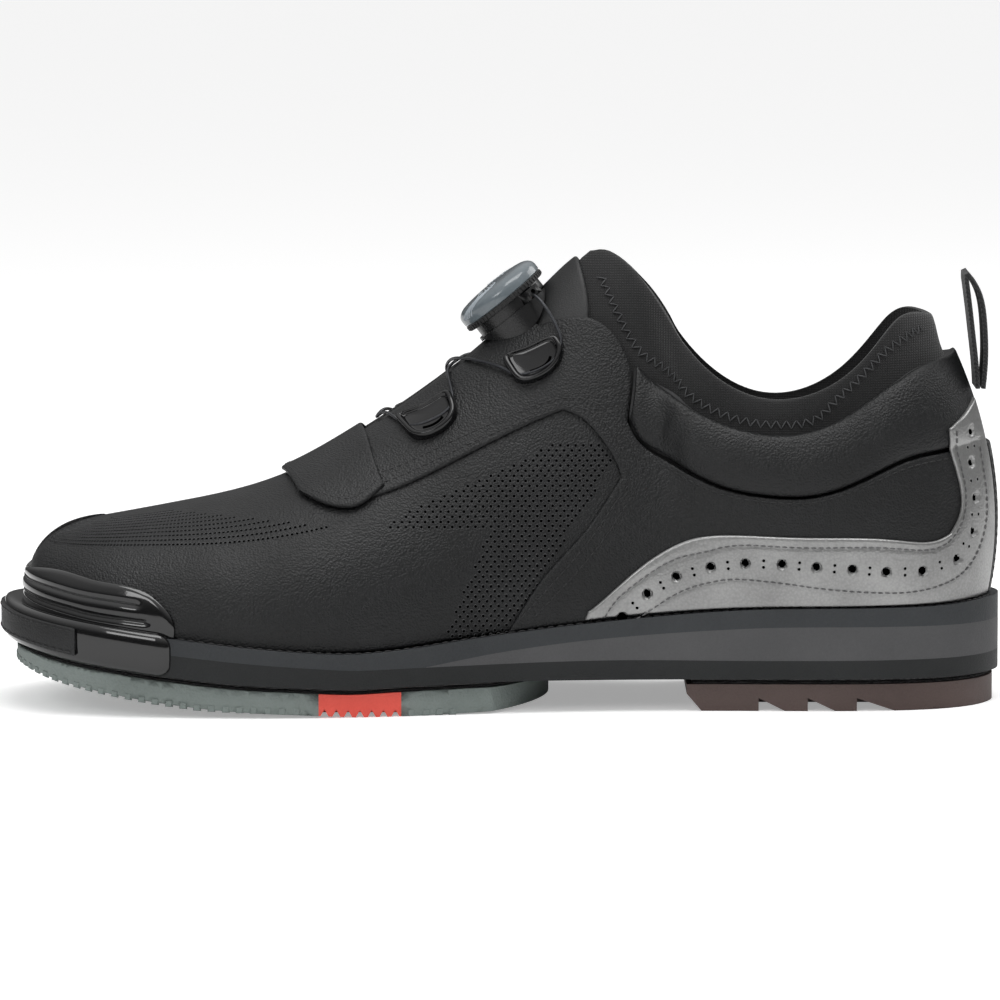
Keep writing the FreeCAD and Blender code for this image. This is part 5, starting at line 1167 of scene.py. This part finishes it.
# ---------------------------------------------------------------------------
# Midsole
# ---------------------------------------------------------------------------
# Three moulded foam layers make the midsole: a dark base, a lighter grey wedge that thickens
# under the heel, and a charcoal welt sewn to the upper all round. Shank, insole board and
# footbed are inside it.
midsole_bottom = height_line([(-156, 19.2), (-148, 17.0), (-136, 14.3), (-124, 12.3), (-108, 10.6),
                              (-93, 9.6), (-77, 8.8), (-49, 8.5), (-31, 9.2), (0, 10), (30, 10),
                              (156, 10)])
MERGE_DISTANCE = 2e-6
SPRUNG_NODES = ("midsole_base", "midsole_wedge", "midsole_welt", "fore_sole_toe",
                "fore_sole_rear", "flex_insert", "forefoot_loop_pad", "fore_hook_pad")
# The layers curl up a little towards the toe, and more at their underside than at the welt.
spring_low = height_line([(-156, 2.4), (-145, 3.2), (-132, 3.5), (-118, 3.4), (-100, 2.6),
                          (-80, 1.6), (-60, 0.9), (-40, 0.0), (156, 0.0)])
spring_high = height_line([(-156, 0.0), (-148, 0.5), (-136, 1.7), (-120, 2.2), (-100, 2.0),
                           (-80, 1.3), (-60, 0.6), (-40, 0.0), (156, 0.0)])


def sprung(points):
    """Points of the layers, in millimetres, with the toe's curl added."""
    x, z = points[:, 0], points[:, 2]
    share = np.clip((z - midsole_bottom(x)) / (welt_top(x) - midsole_bottom(x)), 0.0, 1.0)
    points[:, 2] = z + spring_low(x) * (1 - share) + spring_high(x) * share
    return points


def refined(node, name, material, body, smooth=0.6):
    """A merged, evenly shaded copy of a node of the solid model."""
    mesh = bpy.data.meshes.new(name)
    shape = bmesh.new()
    shape.from_mesh(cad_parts[node].data)
    bmesh.ops.remove_doubles(shape, verts=shape.verts, dist=MERGE_DISTANCE)
    shape.to_mesh(mesh)
    shape.free()
    if node in SPRUNG_NODES:
        places = np.empty(len(mesh.vertices) * 3)
        mesh.vertices.foreach_get("co", places)
        places = sprung(places.reshape(-1, 3) / MM) * MM
        mesh.vertices.foreach_set("co", places.ravel())
    mesh.materials.clear()
    mesh.materials.append(material)
    mesh.shade_smooth()
    mesh.set_sharp_from_angle(angle=smooth)
    piece = bpy.data.objects.new(name, mesh)
    bpy.context.scene.collection.objects.link(piece)
    even = piece.modifiers.new("even", "WEIGHTED_NORMAL")
    even.keep_sharp = True
    bpy.context.view_layer.objects.active = piece
    with bpy.context.temp_override(object=piece, active_object=piece):
        bpy.ops.object.modifier_apply(modifier=even.name)
    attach(piece, body)
    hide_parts(node)
    return piece


foam_base = finish("foam_base", (0.004, 0.005, 0.0054), (0.008, 0.0096, 0.0104), 0.5, 0.7, moulding,
                   1800.0, 0.35, 25.0)
foam_wedge = finish("foam_wedge", (0.055, 0.055, 0.0575), (0.085, 0.085, 0.088), 0.55, 0.75,
                    moulding, 1500.0, 0.45, 25.0)
foam_welt = finish("foam_welt", (0.020, 0.0225, 0.025), (0.036, 0.040, 0.044), 0.5, 0.7, moulding,
                   1500.0, 0.45, 25.0)
refined("midsole_base", "midsole_base_foam", foam_base, "shoe")
refined("midsole_wedge", "midsole_wedge_foam", foam_wedge, "shoe")
refined("midsole_welt", "midsole_welt_foam", foam_welt, "shoe")
LEDGE, TOE_LEDGE, HEEL_LEDGE = 2.8, 3.1, 2.2


def outline_line(outset, height, x_first, x_last, side):
    """Points along one side of the sole's outline, and its outward directions."""
    u = on_side(np.linspace(0.0, HEEL, 1600), side)
    step = 1e-3
    foot = rib_point(u, np.zeros_like(u))
    ahead, behind = rib_point(u + step, np.zeros_like(u)), rib_point(u - step, np.zeros_like(u))
    along = unit((ahead - behind)[:, :2])
    out = np.stack([along[:, 1], -along[:, 0]], -1)
    front = nearness_to_front(u)
    ledge = (LEDGE + TOE_LEDGE * (1 - smooth_step(front / 4.0))
             + HEEL_LEDGE * (1 - smooth_step((HEEL - front) / 2.5)))
    foot[:, :2] += out * (ledge + outset)[:, None]
    inside = (foot[:, 0] > x_first) & (foot[:, 0] < x_last)
    points, normals = foot[inside], np.concatenate([out[inside], np.zeros((inside.sum(), 1))], 1)
    points[:, 2] = height(points[:, 0])
    if side > 0:
        points, normals = points[::-1], normals[::-1]
    return points, normals


# The welt is sewn to the upper round its top edge.
welt_ways = []
for side in (-1, 1):
    welt_points, welt_normals = outline_line(-1.5, lambda x: welt_top(x) + 0.1, -98.0, 152.0, side)
    welt_points = sprung(welt_points)
    upward = np.zeros_like(welt_normals)
    upward[:, 2] = 1.0
    welt_ways += stitch_ways(welt_points, upward, 3.0, 2.3)
welt_sewing = threads("welt_stitches", welt_ways, 0.3, thread_black, 0.12)
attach(welt_sewing, "shoe")


def bead(name, runs, radius, material, body):
    """Thin raised line moulded along the side wall."""
    corners = 6
    points, faces = [], []
    for line, normals in runs:
        first = len(points)
        for i in range(len(line)):
            along = unit(line[min(i + 1, len(line) - 1)] - line[max(i - 1, 0)])
            up = unit(np.cross(normals[i], along))
            for k in range(corners):
                angle = 2 * math.pi * k / corners
                points.append(line[i] + normals[i] * (radius * math.cos(angle))
                              + up * (radius * math.sin(angle)))
        faces += closed_walls(first, len(line), corners)
    piece = new_piece(name, points, faces, material, angle=1.2)
    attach(piece, body)
    return piece


base_top = height_line([(-156, 24.6), (-136, 20.3), (-93, 16.6), (-49, 14.5), (-23, 15.0),
                        (31, 16.0), (77, 15.7), (156, 15.9)])
wedge_top = height_line([(-23, 15.0), (0, 19.0), (31, 22.6), (77, 25.6), (108, 26.0),
                         (156, 25.8)])


def between(low, high, share, extra=0.0):
    """The height line at a share of the way from one height line to another."""
    return lambda x: low(x) * (1 - share) + high(x) * share + extra


STRIP_DEPTH = -1.2


def side_strips(name, outset, low, high, x_first, material):
    """The buffed side wall of one layer, as a strip along each side of the sole."""
    points, faces = [], []
    section = ((outset, 0.0), (outset, 0.5), (outset, 1.0), (STRIP_DEPTH, 1.0),
               (STRIP_DEPTH, 0.0))
    for side in (-1, 1):
        rows = [sprung(outline_line(reach, between(low, high, share), x_first, 157.0, side)[0])
                for reach, share in section]
        count = min(len(row) for row in rows)
        rows = [row[np.linspace(0, len(row) - 1, count).astype(int)] for row in rows]
        first, size = len(points), len(rows)
        points += list(np.array(rows).transpose(1, 0, 2).reshape(-1, 3))
        faces += closed_walls(first, count, size)
    piece = new_piece(name, points, faces, material, angle=0.6)
    face_outward(piece)
    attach(piece, "shoe")


side_strips("midsole_base_side", 0.12, midsole_bottom, base_top, -157.0, foam_base)
side_strips("midsole_wedge_side", 0.12, base_top, wedge_top, -22.5, foam_wedge)
side_strips("midsole_welt_side", 0.1, lambda x: np.where(x > -23.0, wedge_top(x), base_top(x)),
            welt_top, -157.0, foam_welt)

inner_looks = {
    "shank": finish("shank_steel", (0.3, 0.3, 0.31), (0.5, 0.5, 0.51), 0.25, 0.4, moulding, 2000.0,
                    0.1, Metallic=1.0),
    "insole_board": finish("board_fibre", (0.28, 0.21, 0.13), (0.38, 0.30, 0.19), 0.8, 0.9,
                           moulding, 900.0, 0.3),
    "footbed": finish("footbed_cloth", (0.012, 0.012, 0.013), (0.03, 0.03, 0.032), 0.75, 0.92,
                      knit, 300.0, 0.5),
}
for node, look in inner_looks.items():
    recoloured(node, look)
stiffener_look = finish("stiffener_sheet", (0.18, 0.16, 0.13), (0.26, 0.24, 0.2), 0.6, 0.8,
                        moulding, 900.0, 0.2)
for node in ("toe_puff", "heel_counter"):
    recoloured(node, stiffener_look)

# ---------------------------------------------------------------------------
# Removable soles
# ---------------------------------------------------------------------------
# The traction sole is grey rubber in two parts, joined by a red zigzag insert that lets it bend
# at the ball. The heel block is brown rubber with three ramped notches. Both are held to the
# midsole by black hook-and-loop sheets, whose fuzz shows at the edge.
sole_rubber = finish("traction_rubber", (0.17, 0.20, 0.188), (0.26, 0.30, 0.285), 0.55, 0.75,
                     moulding, 1300.0, 0.6, 30.0)
red_rubber = finish("insert_rubber", (0.72, 0.07, 0.05), (0.92, 0.13, 0.09), 0.4, 0.55, moulding,
                    1600.0, 0.3)
brown_rubber = finish("heel_rubber_brown", (0.066, 0.043, 0.038), (0.115, 0.078, 0.07), 0.45, 0.62,
                      moulding, 1500.0, 0.4, 30.0)
hook_cloth = finish("hook_and_loop", (0.004, 0.004, 0.0042), (0.016, 0.016, 0.017), 0.85, 0.98,
                    knit, 900.0, 0.9, Sheen_Weight=0.3)
refined("fore_sole_toe", "traction_sole_toe", sole_rubber, "traction_sole")
refined("fore_sole_rear", "traction_sole_rear", sole_rubber, "traction_sole")
refined("flex_insert", "traction_insert", red_rubber, "traction_sole", smooth=0.3)
refined("heel_rubber", "heel_block_rubber", brown_rubber, "heel_block", smooth=0.4)
for node, body in (("forefoot_loop_pad", "shoe"), ("fore_hook_pad", "traction_sole"),
                   ("heel_loop_pad", "shoe"), ("heel_hook_pad", "heel_block")):
    refined(node, node + "_cloth", hook_cloth, body)

# Inside the tread the grooves end at a solid middle, given by its low and its high corner.
MIDDLES = (
    ("heel_block_middle", (76.0, -24.0, 1.4), (132.0, 24.0, 7.6), brown_rubber, "heel_block",
     "heel_brown"),
    ("traction_insert_middle", (-56.0, -44.0, 0.9), (-31.0, 43.0, 6.0), red_rubber,
     "traction_sole", "insert_red"))
for name, low, high, material, body, slot_name in MIDDLES:
    bpy.ops.object.select_all(action="DESELECT")
    bpy.ops.mesh.primitive_cube_add(size=1.0, location=[(a + b) / 2 * MM
                                                        for a, b in zip(low, high)])
    middle_block = bpy.context.object
    middle_block.name = name
    middle_block.scale = [(b - a) * MM for a, b in zip(low, high)]
    bpy.ops.object.transform_apply(location=True, rotation=True, scale=True)
    middle_block.data.materials.append(material)
    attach(middle_block, body)

# Tread: short ribs round the traction sole's lower edge.
ground_line = height_line([(-156, 16.4), (-151, 12.6), (-144, 9.6), (-136, 7.0), (-124, 4.4),
                           (-108, 2.2), (-90, 0.8), (-72, 0.15), (-58, 0.0), (-50, 0.0),
                           (-34, 0.0), (-14, 0.4), (0, 1.0), (16, 2.2)])
RIB_PITCH, RIB_WIDTH, RIB_HEIGHT, RIB_PROUD = 4.3, 2.4, 2.2, 0.3
RIB_ROOT, RIB_TAPER = -0.6, 0.72
TREAD_RUNS = ((-150.0, -57.0), (-28.0, -13.0))


def rib_blocks(name, rows, material, body):
    """Small blocks with sloped sides, each given by its place, outward and upward directions."""
    points, faces = [], []
    for place, outward, along, upward, width, height, proud in rows:
        first = len(points)
        for reach, share in ((RIB_ROOT, 1.0), (proud, RIB_TAPER)):
            for a, b in ((-1, -1), (1, -1), (1, 1), (-1, 1)):
                points.append(place + outward * reach + along * (a * width / 2 * share)
                              + upward * (b * height / 2 * share))
        faces += closed_walls(first, 2, 4)
    piece = new_piece(name, points, faces, material, angle=0.5)
    face_outward(piece)
    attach(piece, body)


def tread_height(x):
    """Height of the ribs' middle: just above the ground line, and never below the floor."""
    return np.maximum(ground_line(x) + 0.3, RIB_HEIGHT / 2 + 0.05)


tread_rows = []
for side in (-1, 1):
    for first, last in TREAD_RUNS:
        points, normals = outline_line(-1.6, tread_height, first, last, side)
        gaps = travel(points)
        for where in np.arange(1.0, gaps[-1] - 1.0, RIB_PITCH):
            i = min(int(np.searchsorted(gaps, where)), len(points) - 2)
            along = unit(points[i + 1] - points[i])
            upward = unit(np.cross(along, normals[i]))
            place = sprung(points[i:i + 1].copy())[0]
            tread_rows.append((place, normals[i], along, upward, RIB_WIDTH, RIB_HEIGHT,
                               RIB_PROUD))
rib_blocks("tread_ribs", tread_rows, sole_rubber, "traction_sole")

# ---------------------------------------------------------------------------
# Toe guard
# ---------------------------------------------------------------------------
# A glossy moulded guard wraps the toe in two parts: a cap over the leather with two recessed
# textured bands, and a bumper round the midsole. A flat leather patch is sewn on its front,
# where the toe drags.
guard_gloss = finish("guard_gloss", (0.0025, 0.0025, 0.0027), (0.005, 0.005, 0.0054), 0.07, 0.13,
                     moulding, 500.0, 0.03, 15.0)
guard_gloss.node_tree.nodes["Principled BSDF"].inputs["Coat Weight"].default_value = 0.6
CAP_SEAT = 0.024
CAP_END_U = 3.75
BAND_DEPTH = 0.75
cap_corner = place_on_side(-105.5, 37.0)
cap_top = [(0, 0.25)] + side_line((-136, 43), (-124, 41), (-113, 39.5)) + [cap_corner]
cap_right = [(CAP_END_U, CAP_SEAT)] + side_line((-99.5, 31)) + [cap_corner]
cap_grid = patch(run(0, CAP_END_U, CAP_SEAT), cap_right, cap_top, rib(0, CAP_SEAT, 0.25),
                 spaced(76.0, 0.9), spaced(20.0, 0.5))
BAND_LINES = [side_line((-138, 38.2), (-128, 36.4), (-118, 35.2), (-110, 34.2)),
              side_line((-134.5, 33.0), (-125, 31.2), (-115, 30.0), (-107, 29.2))]
band_lines = [[(0.0, line[0][1] + 0.012)] + line for line in BAND_LINES]
band_seams = [line_on_layer(line, 0.0, side)[0] for line in band_lines for side in (-1, 1)]
toe_cap = panel("toe_cap_guard", [cap_grid], 0.1, 1.7, guard_gloss, rounding=1.7,
                seams=band_seams, seam_depth=BAND_DEPTH)
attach(toe_cap, "shoe")
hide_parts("toe_cap")
band_texture = finish("guard_band", (0.004, 0.004, 0.0042), (0.012, 0.012, 0.0125), 0.35, 0.6,
                      moulding, 1500.0, 0.9, 60.0)
band_runs = [line_on_layer(line, BAND_DEPTH, side, 120) for line in band_lines
             for side in (-1, 1)]
bead("toe_cap_bands", band_runs, 0.62, band_texture, "shoe")


BAND_STEPS = 260


def wrapped_band(name, profile, x_last, round_end, material):
    """A band round the toe: its section is given as outset, share of the side's height and
    extra height, and its two ends are rounded off."""
    rows = []
    for outset, share, extra in profile:
        halves = []
        for side in (-1, 1):
            height = between(midsole_bottom, welt_top, share, extra)
            line = sprung(outline_line(outset, height, -157.0, x_last, side)[0])
            from_front = line[0][0] < line[-1][0]
            halves.append(line[::-1] if from_front == (side < 0) else line)
        whole = np.concatenate(halves)
        gaps = travel(whole)
        rows.append(at_distance(np.linspace(0, gaps[-1], BAND_STEPS), gaps, whole))
    rows = np.array(rows)
    length = travel(rows[0])[-1]
    place = np.linspace(0, length, BAND_STEPS)
    near_end = np.minimum(place, length - place)
    fullness = 0.3 + 0.7 * np.sqrt(1 - (1 - np.clip(near_end / round_end, 0, 1)) ** 2)
    core = rows[[0, -1]].mean(axis=0)
    rows = core[None] + (rows - core[None]) * fullness[None, :, None]
    points = list(rows.transpose(1, 0, 2).reshape(-1, 3))
    piece = new_piece(name, points, closed_walls(0, BAND_STEPS, len(profile)), material, angle=0.9)
    face_outward(piece)
    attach(piece, "shoe")
    return piece


BUMPER_SECTION = [(-3.5, 1.0, 1.2), (-1.2, 1.0, 1.35), (0.4, 1.0, 1.2), (1.4, 1.0, 0.75),
                  (2.0, 1.0, -0.1), (2.3, 1.0, -1.4), (2.35, 0.7, 0.0), (2.3, 0.4, 0.0),
                  (2.1, 0.16, 0.0), (1.6, 0.05, 0.0), (0.8, 0.01, 0.0), (-3.5, 0.02, 0.0)]
bumper = wrapped_band("toe_bumper_guard", BUMPER_SECTION, -99.0, 5.0, guard_gloss)
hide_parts("toe_bumper")
drag_leather = finish("drag_leather", (0.006, 0.0062, 0.0065), (0.015, 0.0153, 0.016), 0.5, 0.7,
                      hide, 1500.0, 0.35)
PATCH_END = -128.6
PATCH_SECTION = [(2.0, 0.9, 0.0), (3.0, 0.9, 0.0), (3.3, 0.88, 0.0), (3.3, 0.5, 0.0),
                 (3.3, 0.2, 0.0), (3.0, 0.17, 0.0), (2.0, 0.17, 0.0)]
drag_patch = wrapped_band("toe_drag_leather", PATCH_SECTION, PATCH_END, 0.6, drag_leather)
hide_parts("toe_drag_patch")
patch_ways = []
for side in (-1, 1):
    for share in (0.81, 0.25):
        points, normals = outline_line(3.32, between(midsole_bottom, welt_top, share), -154.5,
                                       PATCH_END - 1.0, side)
        patch_ways += stitch_ways(sprung(points), normals, 2.8, 2.1)
patch_sewing = threads("drag_patch_stitches", patch_ways, 0.25, thread_black, 0.1)
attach(patch_sewing, "shoe")

# ---------------------------------------------------------------------------
# Cable guides
# ---------------------------------------------------------------------------
# Two glossy moulded guides on each quarter turn the cable round. Each is a crescent with a
# raised rim round its face, and its flange is sewn under the leather. The narrow slot along
# its lower side is not cut: a near-black bead lies there as painted shade.
guide_gloss = finish("guide_gloss", (0.0025, 0.0025, 0.003), (0.006, 0.006, 0.0065), 0.05, 0.11,
                     moulding, 600.0, 0.03, 20.0)
UPPER_GUIDE = ([(6.1, 97.6), (14.4, 100.6), (18.6, 104.4), (19.8, 108.9)],
               [(19.8, 108.9), (17.5, 113.0)],
               [(0.9, 105.6), (4.5, 106.6), (8.0, 107.7), (12.1, 109.8), (15.2, 112.1),
                (17.5, 113.0)],
               [(6.1, 97.6), (0.9, 105.7)])
LOWER_GUIDE = ([(-25.9, 80.9), (-20.4, 82.1), (-15.3, 85.0), (-12.2, 89.0)],
               [(-12.2, 89.0), (-14.4, 95.9)],
               [(-31.8, 86.3), (-27.5, 87.6), (-22.6, 89.6), (-18.0, 92.6), (-14.4, 95.9)],
               [(-25.9, 80.9), (-31.8, 86.3)])
OUTLINE_PASSES = 130
GUIDE_FOOT = QUARTER_OUT - 0.4
GUIDE_TOP = QUARTER_OUT + 0.1 + GUIDE_THICKNESS
GUIDE_PROFILE = [(1.04, GUIDE_FOOT), (1.03, GUIDE_FOOT + 1.6), (1.0, GUIDE_TOP - 0.45),
                 (0.96, GUIDE_TOP - 0.08), (0.91, GUIDE_TOP), (0.86, GUIDE_TOP - 0.12),
                 (0.82, GUIDE_TOP - 0.55), (0.79, GUIDE_TOP - 1.1), (0.7, GUIDE_TOP - 1.25),
                 (0.35, GUIDE_TOP - 1.35), (0.02, GUIDE_TOP - 1.4)]


def rounded_ring(lines, softness):
    """Closed outline from four edge lines, with its corners rounded off."""
    bottom, right, top, left = (side_line(*line) for line in lines)
    ring = np.concatenate([along_line(line)(np.linspace(0.0, 0.98, 48))
                           for line in (bottom, right, top[::-1], left[::-1])])
    for _ in range(softness):
        ring = (ring + np.roll(ring, 1, axis=0) + np.roll(ring, -1, axis=0)) / 3
    return ring


for height_name, outline in (("upper", UPPER_GUIDE), ("lower", LOWER_GUIDE)):
    ring = rounded_ring(outline, OUTLINE_PASSES)
    middle = ring.mean(axis=0)
    slot_line = along_line(side_line(*outline[0]))(np.linspace(0.14, 0.84, 60))
    slot_line = slot_line + (middle - slot_line) * 0.42
    for label, side in SIDES:
        node = "lace_guide_%s_%s" % (height_name, label)
        points = []
        for share, lift in GUIDE_PROFILE:
            places = middle + (ring - middle) * share
            points += list(on_shoe(on_side(places[:, 0], side), places[:, 1], lift))
        faces = closed_walls(0, len(GUIDE_PROFILE), len(ring))
        guide = new_piece(node + "_gloss", points, faces, guide_gloss, angle=1.2)
        face_outward(guide)
        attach(guide, "shoe")
        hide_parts(node)
        # A near-black bead along the slot: painted shade, not a cut.
        u = on_side(slot_line[:, 0], side)
        bead(node + "_slot", [(on_shoe(u, slot_line[:, 1], GUIDE_TOP - 1.45),
                               surface_normal(u, slot_line[:, 1]))], 0.5, painted_shade_black, "shoe")

# ---------------------------------------------------------------------------
# Dial
# ---------------------------------------------------------------------------
# The reel sits on the tongue in a black base. Its knob has a ribbed black rubber grip under a
# smoky grey cap with a domed top and flowing moulded lines. The knob turns the spool inside to
# wind the cable, and lifts to let it go.


def turned_piece(name, section, material, body, node, steps=96):
    """Closed body of revolution about the dial's axis, spun from a half section."""
    mesh = bpy.data.meshes.new(name)
    count = len(section)
    mesh.from_pydata([(r * MM, 0.0, z * MM) for r, z in section],
                     [(i, (i + 1) % count) for i in range(count)], [])
    piece = bpy.data.objects.new(name, mesh)
    bpy.context.scene.collection.objects.link(piece)
    bpy.ops.object.select_all(action="DESELECT")
    bpy.context.view_layer.objects.active = piece
    piece.select_set(True)
    bpy.ops.object.mode_set(mode="EDIT")
    bpy.ops.mesh.select_all(action="SELECT")
    bpy.ops.mesh.spin(steps=steps, angle=2 * math.pi, center=(0, 0, 0), axis=(0, 0, 1))
    bpy.ops.mesh.select_all(action="SELECT")
    bpy.ops.mesh.remove_doubles(threshold=1e-6)
    bpy.ops.mesh.delete_loose()
    bpy.ops.mesh.select_all(action="SELECT")
    bpy.ops.mesh.normals_make_consistent(inside=False)
    bpy.ops.object.mode_set(mode="OBJECT")
    piece.data.transform(DIAL_PLACE)
    piece.data.materials.append(material)
    piece.data.shade_smooth()
    piece.data.set_sharp_from_angle(angle=0.6)
    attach(piece, body)
    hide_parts(node)


smoke_cap = finish("smoky_cap", (0.1, 0.122, 0.135), (0.175, 0.205, 0.225), 0.16, 0.28, moulding,
                   700.0, 0.05, 60.0)
smoke_cap.node_tree.nodes["Principled BSDF"].inputs["Coat Weight"].default_value = 0.5
dial_black = finish("dial_black", (0.004, 0.004, 0.0042), (0.011, 0.011, 0.0115), 0.22, 0.38,
                    moulding, 1500.0, 0.15, 30.0)
grip_black = finish("grip_rubber", (0.005, 0.005, 0.0052), (0.013, 0.013, 0.0135), 0.4, 0.6,
                    moulding, 2500.0, 0.4)
# Half sections as (radius, height): the dome of the cap runs from its rim to its middle.
CAP_DOME = [(14.4, 4.0), (14.25, 4.7), (13.9, 5.35), (13.3, 5.95), (12.5, 6.45), (11.4, 6.85),
            (9.5, 7.18), (7.2, 7.4), (4.0, 7.54), (0.0, 7.6)]
CAP_SECTION = ([(13.5, 2.0), (14.1, 2.0), (14.35, 2.25), (14.4, 2.8)] + CAP_DOME
               + [(0.0, 5.4), (13.5, 5.4)])
KNOB_SECTION = [(0.0, 4.4), (3.4, 4.4), (3.4, 2.6), (6.5, 2.6), (6.5, 4.4), (12.5, 4.4),
                (12.5, 0.25), (12.65, 0.1), (13.5, 0.1), (13.5, 5.4), (0.0, 5.4)]
GRIP_SECTION = [(13.5, 0.1), (14.0, 0.1), (14.2, 0.3), (14.2, 1.8), (14.05, 2.0), (13.5, 2.0)]
SCREW_SECTION = [(0.0, -3.9), (1.2, -3.9), (1.2, 2.7), (2.8, 2.7), (2.8, 3.4), (2.5, 3.7),
                 (0.8, 3.7), (0.8, 3.2), (0.0, 3.2)]
turned_piece("dial_cap_dome", CAP_SECTION, smoke_cap, "knob", "dial_cap")
turned_piece("dial_knob_ring", KNOB_SECTION, dial_black, "knob", "dial_knob")
turned_piece("dial_grip_ring", GRIP_SECTION, grip_black, "knob", "dial_grip")
turned_piece("dial_screw_head", SCREW_SECTION, inner_looks["shank"], "shoe", "dial_screw",
             32)
spool_nylon = finish("spool_nylon", (0.5, 0.5, 0.48), (0.6, 0.6, 0.58), 0.4, 0.55, moulding,
                     1500.0, 0.15)
recoloured("lace_spool", spool_nylon)
refined("dial_housing", "dial_housing_cup", dial_black, "shoe", smooth=0.5)
refined("dial_base", "dial_base_seat", dial_black, "shoe", smooth=0.5)


def dial_way(x, y, z):
    """A direction given in the dial's own plane."""
    return np.array(DIAL_PLACE.to_3x3() @ Vector((x, y, z)))


# Ribs round the grip.
GRIP_RIBS, GRIP_RADIUS, GRIP_LEVEL = 60, 14.15, 1.05
grip_rows = []
for number in range(GRIP_RIBS):
    angle = 2 * math.pi * number / GRIP_RIBS
    c, s = math.cos(angle), math.sin(angle)
    grip_rows.append((dial_point(GRIP_RADIUS * c, GRIP_RADIUS * s, GRIP_LEVEL),
                      dial_way(c, s, 0), dial_way(-s, c, 0), dial_way(0, 0, 1), 0.8, 1.6, 0.28))
rib_blocks("dial_grip_ribs", grip_rows, grip_black, "knob")

# Flowing lines moulded into the cap: each follows the dome and then rolls over its rim.
dome_radii, dome_heights = np.array(CAP_DOME[::-1]).T
LINE_TURN, LINE_START, LINE_REACH, LINE_GAP, LINE_COUNT = 0.4, 4.6, 9.8, 0.17, 6
# The lines are coloured much lighter than the cap: a painted highlight along their moulded edges.
wave_highlight = finish("cap_line_painted_highlight", (0.3, 0.34, 0.37), (0.42, 0.46, 0.5), 0.12, 0.25, moulding,
                     900.0, 0.05)
wave_runs = []
for turn in (LINE_TURN, LINE_TURN + math.pi):
    for number in range(LINE_COUNT):
        line, normals = [], []
        for share in np.linspace(0.0, 1.0, 46):
            reach = LINE_START + LINE_REACH * share
            angle = turn + LINE_GAP * number + 0.55 * math.sin(3.1 * share + 0.22 * number)
            c, s = math.cos(angle), math.sin(angle)
            z = float(np.interp(min(reach, dome_radii[-1]), dome_radii, dome_heights))
            slope = smooth_step((reach - 10.5) / 3.9)
            line.append(dial_point(reach * c, reach * s, z + 0.02))
            normals.append(dial_way(c * slope, s * slope, 1 - 0.8 * slope))
        wave_runs.append((np.array(line), unit(np.array(normals))))
bead("dial_cap_lines", wave_runs, 0.2, wave_highlight, "knob")

# ---------------------------------------------------------------------------
# Pull tab
# ---------------------------------------------------------------------------
# A loop of flat black webbing is sewn to the back of the collar. It is one band folded over at
# the top into two layers, with a narrow rib along each edge. Two lines of stitches hold its
# root.


def webbing_weave(nodes, links, entry, place):
    """Twill webbing: slanting ribs crossed by the weft."""
    slant = texture(nodes, links, "Wave", place, entry.outputs["Scale"])
    slant.bands_direction = "DIAGONAL"
    weft = texture(nodes, links, "Wave", place, entry.outputs["Scale"])
    weft.bands_direction = "Z"
    both = calculated(nodes, links, "MULTIPLY_ADD", weft.outputs["Fac"], 0.5,
                      slant.outputs["Fac"])
    return both, slant.outputs["Fac"]


weave = shade_group("webbing_weave", webbing_weave)
webbing = finish("black_webbing", (0.006, 0.006, 0.0064), (0.022, 0.022, 0.0235), 0.7, 0.9, weave,
                 520.0, 0.6, Sheen_Weight=0.2)
TAB_FRONT = [(146.2, 96.6), (145.7, 104.0), (144.8, 112.0), (143.6, 122.0), (142.3, 131.6)]
TAB_BACK = [(149.4, 96.6), (150.1, 106.0), (149.8, 116.0), (148.2, 125.5), (144.0, 132.6)]
TAB_WEB = 1.5
TAB_WIDTH = 20.0
front_line = along_line(TAB_FRONT)(np.linspace(0, 1, 40)) + np.array([TAB_WEB / 2, 0.0])
back_line = along_line(TAB_BACK)(np.linspace(0, 1, 46)) - np.array([TAB_WEB / 2, 0.0])
fold = np.array([(143.3, 131.8), (143.5, 132.0)])
centre_line = np.concatenate([front_line[:-2], fold, back_line[::-1][3:]])
across = [-1.0, -0.97, -0.9, -0.84, -0.6, -0.3, 0.0, 0.3, 0.6, 0.84, 0.9, 0.97, 1.0]
thick = [0.35, 0.75, 1.0, 0.86, 0.86, 0.86, 0.86, 0.86, 0.86, 0.86, 1.0, 0.75, 0.35]
tab_points = []
for place, along in zip(centre_line, unit(np.gradient(centre_line, axis=0))):
    sideways = np.array([along[1], -along[0]])
    for sign in (1, -1):
        order = range(len(across)) if sign > 0 else range(len(across) - 1, -1, -1)
        for k in order:
            reach = sideways * (sign * thick[k] * TAB_WEB * 0.48)
            tab_points.append((place[0] + reach[0], across[k] * TAB_WIDTH / 2,
                               place[1] + reach[1]))
tab_faces = closed_walls(0, len(centre_line), 2 * len(across))
pull_tab = new_piece("pull_loop", tab_points, tab_faces, webbing, angle=0.9)
face_outward(pull_tab)
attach(pull_tab, "pull_tab")
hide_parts("pull_tab")
tab_ways = []
back_x, back_z = np.array(TAB_BACK).T
for z in (99.5, 102.0):
    x = float(np.interp(z, back_z, back_x)) - 0.05
    line = np.stack([np.full(40, x), np.linspace(-8.6, 8.6, 40), np.full(40, z)], -1)
    normal = np.tile((1.0, 0.0, 0.0), (40, 1))
    tab_ways += stitch_ways(line, normal, 2.4, 1.8)
tab_sewing = threads("pull_loop_stitches", tab_ways, 0.22, thread_black, 0.1)
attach(tab_sewing, "pull_tab")

# ---------------------------------------------------------------------------
# Last update of the scene
# ---------------------------------------------------------------------------
bpy.context.view_layer.update()
